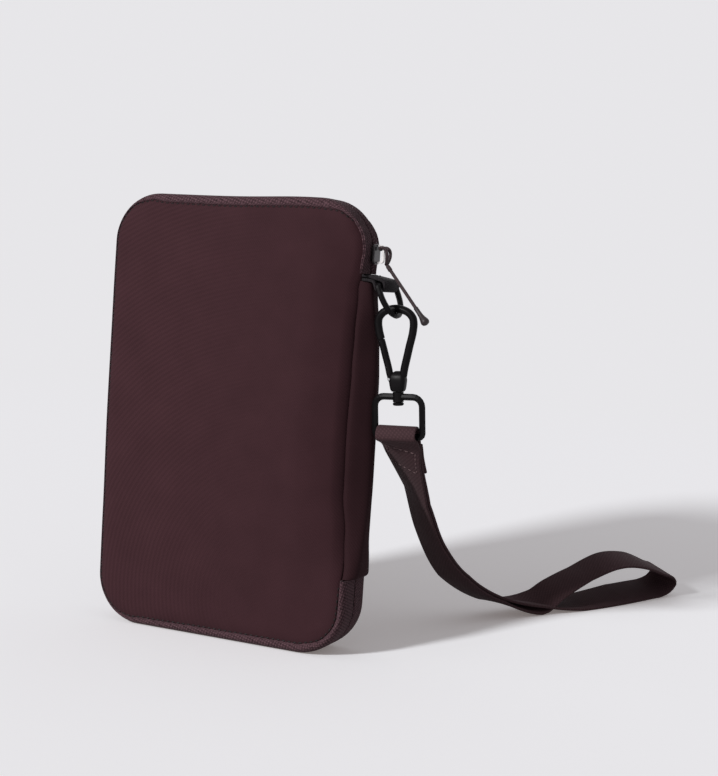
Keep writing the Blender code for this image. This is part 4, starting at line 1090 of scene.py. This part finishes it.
def pull_pieces(cord_finish, tip_finish):
    """The doubled cord, looped through the bail and bound below it, and the moulding on its end."""
    half_width = PULL_LOOP_WIDTH / 2
    near = [PULL_PIVOT + Vector((x, -y * half_width, z)) for x, z, y in PULL_LOOP]
    far = [Vector((p.x, -p.y, p.z)) for p in reversed(near[1:-1])]
    cord = Shape()
    tube(cord, curve_through(near + far, 5, closed=True), PULL_CORD / 2, sides=12, closed=True)
    along = (PULL_END - near[-1]).normalized()
    tube(cord, spread(near[-1] - along * 0.0006, PULL_END, 16), PULL_CORD / 2, sides=12)
    bound = [near[-1] + along * run for run in spread(*BIND_RUN, 4)]
    tube(cord, bound, PULL_CORD / 2 + BIND_THREAD, sides=14)
    bore = PULL_CORD / 2 + PULL_TIP_PLAY
    profile = [(NEARLY_NONE, PULL_TIP_GRIP), (bore, PULL_TIP_GRIP), (bore, 0.0002)]
    profile += [(radius, PULL_TIP_LENGTH * share) for radius, share in PULL_TIP_PROFILE]
    profile.append((NEARLY_NONE, PULL_TIP_LENGTH))
    mouth = PULL_END - along * (PULL_TIP_GRIP - FIT_GAP)
    side = along.orthogonal().normalized()
    rings = [round_ring(mouth + along * run, side, along.cross(side), radius, 20) for radius, run in profile]
    return cord.make("pull_cord_braid", cord_finish), lofted("pull_tip_moulding", tip_finish, rings)


# Materials


def feed(tree, socket, value):
    """Links the socket to another one, or sets its value."""
    if isinstance(value, bpy.types.NodeSocket):
        tree.links.new(value, socket)
    else:
        socket.default_value = value


def node(tree, kind, inputs=(), **values):
    """A new node. Values name its sockets or else its settings, and inputs are fed in their order."""
    made = tree.nodes.new(kind)
    for name, value in values.items():
        if name in made.inputs:
            feed(tree, made.inputs[name], value)
        else:
            setattr(made, name, value)
    for socket, value in zip(made.inputs, inputs):
        feed(tree, socket, value)
    return made


def coordinates(tree, output):
    return node(tree, "ShaderNodeTexCoord").outputs[output]


def combine(tree, first, second, operation="MULTIPLY"):
    return node(tree, "ShaderNodeMath", (first, second), operation=operation).outputs["Value"]


class Look:
    """A Principled material whose colour and bumps follow patterns in object or UV coordinates."""

    def __init__(self, name, colour, roughness, place="Object", **sockets):
        self.made = bpy.data.materials.new(name)
        self.made.use_nodes = True
        self.tree = self.made.node_tree
        self.shader = self.tree.nodes["Principled BSDF"]
        self.colour = colour
        self.place = coordinates(self.tree, place)
        settings = {"Base_Color": (*colour, 1.0), "Roughness": roughness, **sockets}
        for socket, value in settings.items():
            self.set(socket.replace("_", " "), value)

    def set(self, socket, value):
        feed(self.tree, self.shader.inputs[socket], value)

    def wave(self, pitch, axis="X", degrees=0.0):
        """Sine bands of this pitch along the axis. Those in UV turn about Z, and the others about Y."""
        turn = math.radians(degrees)
        rotation = (0, 0, turn) if axis == "UV" else (0, turn, 0)
        mapping = node(self.tree, "ShaderNodeMapping", Vector=self.place, Rotation=rotation)
        made = node(self.tree, "ShaderNodeTexWave", wave_type="BANDS", wave_profile="SIN", Detail=1.0)
        made.bands_direction = "X" if axis == "UV" else axis
        feed(self.tree, made.inputs["Scale"], WAVE_UNIT / pitch)
        feed(self.tree, made.inputs["Vector"], mapping.outputs["Vector"])
        return made.outputs["Fac"]

    def noise(self, scale, detail=2.0, place=None):
        values = {"Vector": place or self.place, "Scale": scale, "Detail": detail}
        return node(self.tree, "ShaderNodeTexNoise", **values).outputs["Fac"]

    def product(self, first, second):
        return combine(self.tree, first, second)

    def total(self, *pairs):
        """The sum of values, each times its weight."""
        total = self.product(*pairs[0])
        for value, weight in pairs[1:]:
            total = combine(self.tree, total, self.product(value, weight), "ADD")
        return total

    def tint(self, pattern, shades, span=(0.0, 1.0)):
        """Runs the colour from a darker to a lighter shade as the pattern rises over its span."""
        ramp = node(self.tree, "ShaderNodeValToRGB", Fac=pattern)
        for element, position, shade in zip(ramp.color_ramp.elements, span, shades):
            element.position = position
            element.color = (*(c * shade for c in self.colour), 1)
        self.set("Base Color", ramp.outputs["Color"])

    def bump(self, height, distance, strength):
        made = node(self.tree, "ShaderNodeBump", Height=height, Distance=distance, Strength=strength)
        self.set("Normal", made.outputs["Normal"])
        return self.made


def cloth_shine(gloss, sheen, sheen_roughness=0.5):
    return {"Specular_IOR_Level": gloss, "Sheen_Weight": sheen, "Sheen_Roughness": sheen_roughness}


def watered(look):
    """Faint curved lines where two layers of fine weave beat, fading out across the cover."""
    tree = look.tree
    mapping = node(tree, "ShaderNodeMapping", Vector=look.place, Location=(-0.035, 0, -0.020))
    rings = node(tree, "ShaderNodeTexWave", wave_type="RINGS", rings_direction="Y", Distortion=0.6)
    feed(tree, rings.inputs["Scale"], WAVE_UNIT / 0.0021)
    feed(tree, rings.inputs["Vector"], mapping.outputs["Vector"])
    axes = node(tree, "ShaderNodeSeparateXYZ", (look.place,))
    span = (axes.outputs["X"], 0.030, -0.040)
    fade = node(tree, "ShaderNodeMapRange", span, interpolation_type="SMOOTHSTEP")
    return combine(tree, rings.outputs["Fac"], fade.outputs["Result"])


def cover_cloth(name, colour):
    """Dense twill: fine slanted ribs, a faint watered figure and slow changes of tone."""
    look = Look(name, colour, 0.75, **cloth_shine(0.05, 0.02, 0.4))
    twill, weft = look.wave(0.00085, "X", 38), look.wave(0.00060, "Z")
    blotch, speck = look.noise(55, 3), look.noise(2600, 1)
    tone = look.total((watered(look), 0.20), (blotch, 0.45), (twill, 0.16), (speck, 0.22))
    look.tint(tone, (0.80, 1.22), (0.25, 0.80))
    return look.bump(look.total((twill, 1.0), (weft, 1.0), (speck, 0.6)), 0.00006, 0.55)


def tape_cloth(name, colour):
    """Coarse knitted tape: cross ribs broken by loose fibres."""
    look = Look(name, colour, 0.88, "UV", **cloth_shine(0.06, 0.04))
    ribs = look.product(look.wave(0.00130, "UV", 20), look.wave(0.00140, "UV", 110))
    fibre = look.noise(1100, 3, coordinates(look.tree, "Object"))
    weave = look.total((ribs, 0.7), (fibre, 1.0))
    look.tint(weave, (0.40, 1.75), (0.35, 1.05))
    return look.bump(weave, 0.00025, 0.9)


def webbing_cloth(name, colour, pitch=0.0011):
    """Woven webbing: ribs across the width, in two rows of opposite slant."""
    look = Look(name, colour, 0.80, "UV", **cloth_shine(0.08, 0.03, 0.4))
    ribs = look.product(look.wave(pitch, "UV", 32), look.wave(pitch * 1.3, "UV", -58))
    fibre = look.noise(1300, place=coordinates(look.tree, "Object"))
    weave = look.total((ribs, 1.0), (fibre, 0.6))
    look.tint(weave, (0.80, 1.24), (0.20, 1.0))
    return look.bump(weave, 0.00010, 0.5)


def lining_cloth(name, colour, pitch=0.0007):
    """Thin plain-weave lining with a soft shine."""
    look = Look(name, colour, 0.55, **cloth_shine(0.30, 0.10))
    threads = look.product(look.wave(pitch, "X"), look.wave(pitch, "Z"))
    weave = look.total((threads, 1.0), (look.noise(90), 0.5))
    look.tint(weave, (0.80, 1.18), (0.2, 1.0))
    return look.bump(weave, 0.00005, 0.5)


def thread_cloth(name, colour):
    look = Look(name, colour, 0.60, Specular_IOR_Level=0.30)
    twist = look.wave(0.0004, "X", 40)
    look.tint(twist, (0.75, 1.25))
    return look.bump(twist, 0.00003, 0.6)


def foam_surface(name, colour):
    look = Look(name, colour, 0.95, Specular_IOR_Level=0.1)
    cells = node(look.tree, "ShaderNodeTexVoronoi", Vector=look.place, Scale=1800).outputs["Distance"]
    look.tint(cells, (0.8, 1.05))
    return look.bump(cells, 0.0001, 0.6)


def braid(name, colour):
    """Round braided cord: two slanted runs of yarn."""
    look = Look(name, colour, 0.62, "UV", **cloth_shine(0.3, 0.08))
    weave = combine(look.tree, look.wave(0.0008, "UV", 40), look.wave(0.0008, "UV", -40), "MAXIMUM")
    look.tint(weave, (0.55, 1.3))
    return look.bump(weave, 0.00010, 0.7)


def coated_metal(name, colour, roughness, metallic, wear=1.6, gloss=0.5):
    """Coated or plated metal, with a mottled gloss and a little wear."""
    look = Look(name, colour, roughness, Metallic=metallic, Specular_IOR_Level=gloss)
    mottle = look.noise(160, 4)
    rough = node(look.tree, "ShaderNodeMapRange", (mottle, 0.0, 1.0, roughness * 0.75, roughness * 1.35))
    look.set("Roughness", rough.outputs["Result"])
    look.tint(mottle, (1.0, wear), (0.45, 0.85))
    return look.bump(look.noise(900), 0.00002, 0.35)


def moulded(name, colour, roughness):
    """Moulded plastic with a fine grain."""
    look = Look(name, colour, roughness, Specular_IOR_Level=0.4)
    grain = look.noise(1400, 3)
    look.tint(grain, (0.88, 1.12), (0.3, 0.7))
    return look.bump(grain, 0.00003, 0.5)


# Studio


def mixed(tree, factor, first, second):
    made = node(tree, "ShaderNodeMixShader", (factor, first, second))
    return made.outputs[0]


def seen_rays(tree):
    """1 for rays that show a thing itself: straight, or by way of something shiny or clear. Else 0."""
    path = node(tree, "ShaderNodeLightPath").outputs
    either = combine(tree, path["Is Camera Ray"], path["Is Glossy Ray"], "MAXIMUM")
    return combine(tree, either, path["Is Transmission Ray"], "MAXIMUM")


def floor_material():
    """Pale floor, evenly lit to the camera and to shiny things whatever the lamp's distance."""
    made = bpy.data.materials.new("studio_floor")
    made.use_nodes = True
    tree = made.node_tree
    tree.nodes.clear()
    spot = coordinates(tree, "Object")
    reach = node(tree, "ShaderNodeVectorMath", (spot, KEY_PLACE), operation="DISTANCE").outputs["Value"]
    level = combine(tree, KEY_LEVEL * KEY_PLACE.z, reach, "DIVIDE")
    level = combine(tree, level, FILL, "ADD")
    scale = node(tree, "ShaderNodeVectorMath", (FLOOR_LIT,), operation="SCALE")
    tree.links.new(combine(tree, 1.0, level, "DIVIDE"), scale.inputs["Scale"])
    even = node(tree, "ShaderNodeBsdfDiffuse", (scale.outputs["Vector"],))
    base = node(tree, "ShaderNodeEmission", ((*FLOOR_BASE, 1),))
    shown = node(tree, "ShaderNodeAddShader", (even.outputs[0], base.outputs[0])).outputs[0]
    lighting = node(tree, "ShaderNodeBsdfDiffuse", (FLOOR_BOUNCE,)).outputs[0]
    far = node(tree, "ShaderNodeEmission", ((*PALE, 1),)).outputs[0]
    seen = seen_rays(tree)
    distance = node(tree, "ShaderNodeVectorMath", (spot,), operation="LENGTH").outputs["Value"]
    fade = node(tree, "ShaderNodeMapRange", (distance, *FLOOR_FADE), interpolation_type="SMOOTHSTEP")
    haze = combine(tree, fade.outputs["Result"], seen)
    surface = mixed(tree, haze, mixed(tree, seen, lighting, shown), far)
    node(tree, "ShaderNodeOutputMaterial", (surface,))
    return made


def studio():
    mesh = bpy.data.meshes.new("floor")
    corners = [(x * FLOOR_SIZE, y * FLOOR_SIZE, 0) for x, y in ((-1, -1), (1, -1), (1, 1), (-1, 1))]
    mesh.from_pydata(corners, [], [(0, 1, 2, 3)])
    mesh.materials.append(floor_material())
    floor = added("floor", mesh)

    world = bpy.data.worlds.new("studio")
    bpy.context.scene.world = world
    world.use_nodes = True
    tree = world.node_tree
    tree.nodes.clear()
    fill = node(tree, "ShaderNodeBackground", (FILL_COLOUR, FILL)).outputs[0]
    shown = node(tree, "ShaderNodeBackground", ((*PALE, 1), 1.0)).outputs[0]
    node(tree, "ShaderNodeOutputWorld", (mixed(tree, seen_rays(tree), fill, shown),))

    light = bpy.data.lights.new("key", "POINT")
    light.shadow_soft_size = KEY_RADIUS
    light.energy = KEY_LEVEL * 4 * math.pi**2
    light.use_nodes = True
    tree = light.node_tree
    falloff = node(tree, "ShaderNodeLightFalloff", (1.0,))
    tree.links.new(falloff.outputs["Constant"], tree.nodes["Emission"].inputs["Strength"])
    lamp = added("key", light)
    lamp.location = KEY_PLACE


def camera():
    level = math.cos(CAMERA_PITCH)
    view = Vector((-math.sin(CAMERA_YAW) * level, math.cos(CAMERA_YAW) * level, -math.sin(CAMERA_PITCH)))
    right = Vector((math.cos(CAMERA_YAW), math.sin(CAMERA_YAW), 0))
    up = right.cross(view)
    rolled_right = math.cos(CAMERA_ROLL) * right + math.sin(CAMERA_ROLL) * up
    rolled_up = -math.sin(CAMERA_ROLL) * right + math.cos(CAMERA_ROLL) * up
    data = bpy.data.cameras.new("camera")
    data.lens = CAMERA_LENS
    data.sensor_width = 36
    data.sensor_fit = "HORIZONTAL"
    data.clip_start = 0.01
    obj = added("camera", data)
    turn = Matrix((rolled_right, rolled_up, -view)).transposed().to_4x4()
    obj.matrix_world = Matrix.Translation(CAMERA_PLACE) @ turn
    bpy.context.scene.camera = obj


# Whole scene


def dress(obj, body, slot, *nodes):
    """Puts a piece on its body, in place of these nodes. The slot is not used."""
    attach(obj, body)
    if nodes:
        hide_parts(*nodes)


def make_cover(side, half, cover, tape, foam, lining, thread, nylon):
    """One half of the wallet: panel with its seam's stitches, tape, teeth, stiffening board and lining."""
    body = COVER_BODIES[side]
    panel, seam_line, outs = cover_panel(side, f"{half}_cloth", cover)
    dress(panel, body, "cover_fabric", f"{half}_panel")
    seams = Shape()
    stitch_line(seams, seam_line, outs, closed=True, hidden=in_deep_fold)
    seam = seams.make(f"{half}_seam_stitches", thread)
    seam.parent = panel
    dress(zip_tape(side, f"{half}_tape", tape), body, "zip_tape", f"zip_tape_{half}")
    dress(zip_coil(side, f"{half}_teeth", nylon), body, "zip_coil", f"zip_coil_{half}")
    board = flat_cloth(f"{half}_board", BOARD_INSET, BOARD_RIGHT, BOARD_Y, BOARD_THICKNESS, side, foam)
    dress(board, body, "stiffening_foam", f"{half}_foam")
    name, inset, thickness = f"{half}_lining_cloth", LINING_INSET, LINING_THICKNESS * 0.5
    sheet = flat_cloth(name, inset, LINING_RIGHT, LINING_Y, thickness, side, lining, waves=LINING_WAVE)
    dress(sheet, body, "lining_fabric", f"{half}_lining")


def in_deep_fold(spot):
    """Whether the seam's thread is out of sight here."""
    return groove_share(spot.x + 0.006, spot.z) > 0.3


def make_folds(side, half, finish):
    """The strips of cloth outside and inside the fold between one cover and the spine."""
    low = GROOVE_Y[side] - OUTER_FOLD_DROP
    outline = [(0.0542, low + 0.0005), (0.0554, low), (0.0562, low - 0.0004), (0.0567, low - 0.0010)]
    fold_strip(f"{half}_fold", outline, side, finish)
    low = GROOVE_Y[side] - INNER_FOLD_DROP
    outline = [(0.0474, 0.0077), (0.0496, 0.0066), (0.0526, (low + 0.0066) / 2)]
    outline += [(0.0548, low), (0.0560, low - 0.0006)]
    fold_strip(f"{half}_inner_fold", outline, side, finish)


def spine_stitches(name, thread):
    """The rows of stitches that hold the spine cloth's hems."""
    threads = Shape()
    for z in (SPINE_FOOT_Z + SPINE_SEAM_INSET, SPINE_HEAD_Z - SPINE_SEAM_INSET):
        profile = [Vector((x, y, 0)) for x, y in spine_profile(z)]
        row, outs = [], []
        for i in range(5, len(profile) - 5):
            along = way_at(profile, i)
            out = Vector((along.y, -along.x, 0))
            row.append(spine_point(profile[i].x, profile[i].y, z) + out * 0.0005)
            outs.append(out)
        stitch_line(threads, row, outs, pitch=0.0021, length=0.0015)
    seam = threads.make(name, thread)
    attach(seam, "spine")


def main():
    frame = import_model()
    nodes = frame["nodes"]
    bpy.context.scene.view_settings.view_transform = "Standard"
    camera()
    studio()

    cover = cover_cloth("cover_twill", (0.0500, 0.0208, 0.0252))
    tape = tape_cloth("zip_tape_knit", (0.0760, 0.0405, 0.0480))
    # The spine's cloth is the covers' twill in a darker copy: painted shade for the side that faces away from
    # the lamp.
    spine = cover_cloth("spine_twill_painted_shade", (0.0330, 0.0140, 0.0168))
    strap = webbing_cloth("strap_weave", (0.0600, 0.0320, 0.0360))
    tab_cloth = webbing_cloth("tab_weave", (0.0210, 0.0180, 0.0200), 0.0010)
    lining = lining_cloth("lining_weave", (0.0560, 0.0240, 0.0290))
    pockets = lining_cloth("pocket_weave", (0.0660, 0.0300, 0.0350), 0.0009)
    thread = thread_cloth("cover_thread", (0.0050, 0.0022, 0.0026))
    light_thread = thread_cloth("strap_thread", (0.1150, 0.0680, 0.0720))
    foam = foam_surface("foam_cells", (0.30, 0.29, 0.28))
    nylon = moulded("coil_nylon", (0.0300, 0.0150, 0.0175), 0.42)
    cord_braid = braid("cord_braid", (0.0250, 0.0120, 0.0140))
    tip_finish = moulded("tip_moulding", (0.0130, 0.0065, 0.0075), 0.50)
    black = coated_metal("black_coating", (0.0045, 0.0038, 0.0043), 0.36, 0.0, gloss=0.08)
    dark_slider = coated_metal("slider_plating", (0.045, 0.040, 0.042), 0.30, 0.6)
    bright = coated_metal("bail_plating", (0.62, 0.60, 0.59), 0.20, 1.0, 1.15)
    steel = coated_metal("pin_steel", (0.42, 0.42, 0.43), 0.28, 1.0, 1.2)

    for side, half in HALVES:
        make_cover(side, half, cover, tape, foam, lining, thread, nylon)
    for name, replaced, side, top, layer in POCKETS:
        cloth = pocket(name, top, layer, side, pockets, light_thread)
        dress(cloth, COVER_BODIES[side], "pocket_fabric", replaced)
    dress(spine_cloth("spine_cloth", spine), "spine", "spine_fabric", "spine_panel")
    strip = standing_strip("spine_lining_cloth", LINING_STRIP, 0.0018, lining)
    dress(strip, "spine", "lining_fabric", "spine_lining")
    # The fold strips beside the spine take the same darker twill, so they carry its painted shade too.
    for side, half in HALVES:
        make_folds(side, half, spine)
    spine_stitches("spine_stitches", thread)

    tab, seam = fabric_tab(tab_cloth, thread)
    dress(tab, "spine", "tab_webbing", "strap_tab")
    seam.parent = tab
    cord, tip = pull_pieces(cord_braid, tip_finish)
    dress(cord, "puller", "pull_cord", "pull_cord")
    dress(tip, "puller", "pull_tip", "pull_tip")
    dress(wrist_strap(strap), "strap", "strap_webbing", "wrist_strap")
    lap, seam = strap_lap(strap, light_thread)
    dress(lap, "strap", "strap_webbing", "strap_end")
    seam.parent = lap
    hook, gate = clip_pieces(black, steel)
    dress(hook, "clip", "black_metal", "clip_hook")
    dress(gate, "gate", "black_metal", "clip_gate")

    finishes = {"slider_body": dark_slider, "slider_bridge": bright, "gate_pin": steel, "gate_spring": steel}
    finishes.update({"d_ring": black, "strap_ring": black, "swivel_post": black})
    for name, finish in finishes.items():
        nodes[name].data.materials.clear()
        nodes[name].data.materials.append(finish)


main()
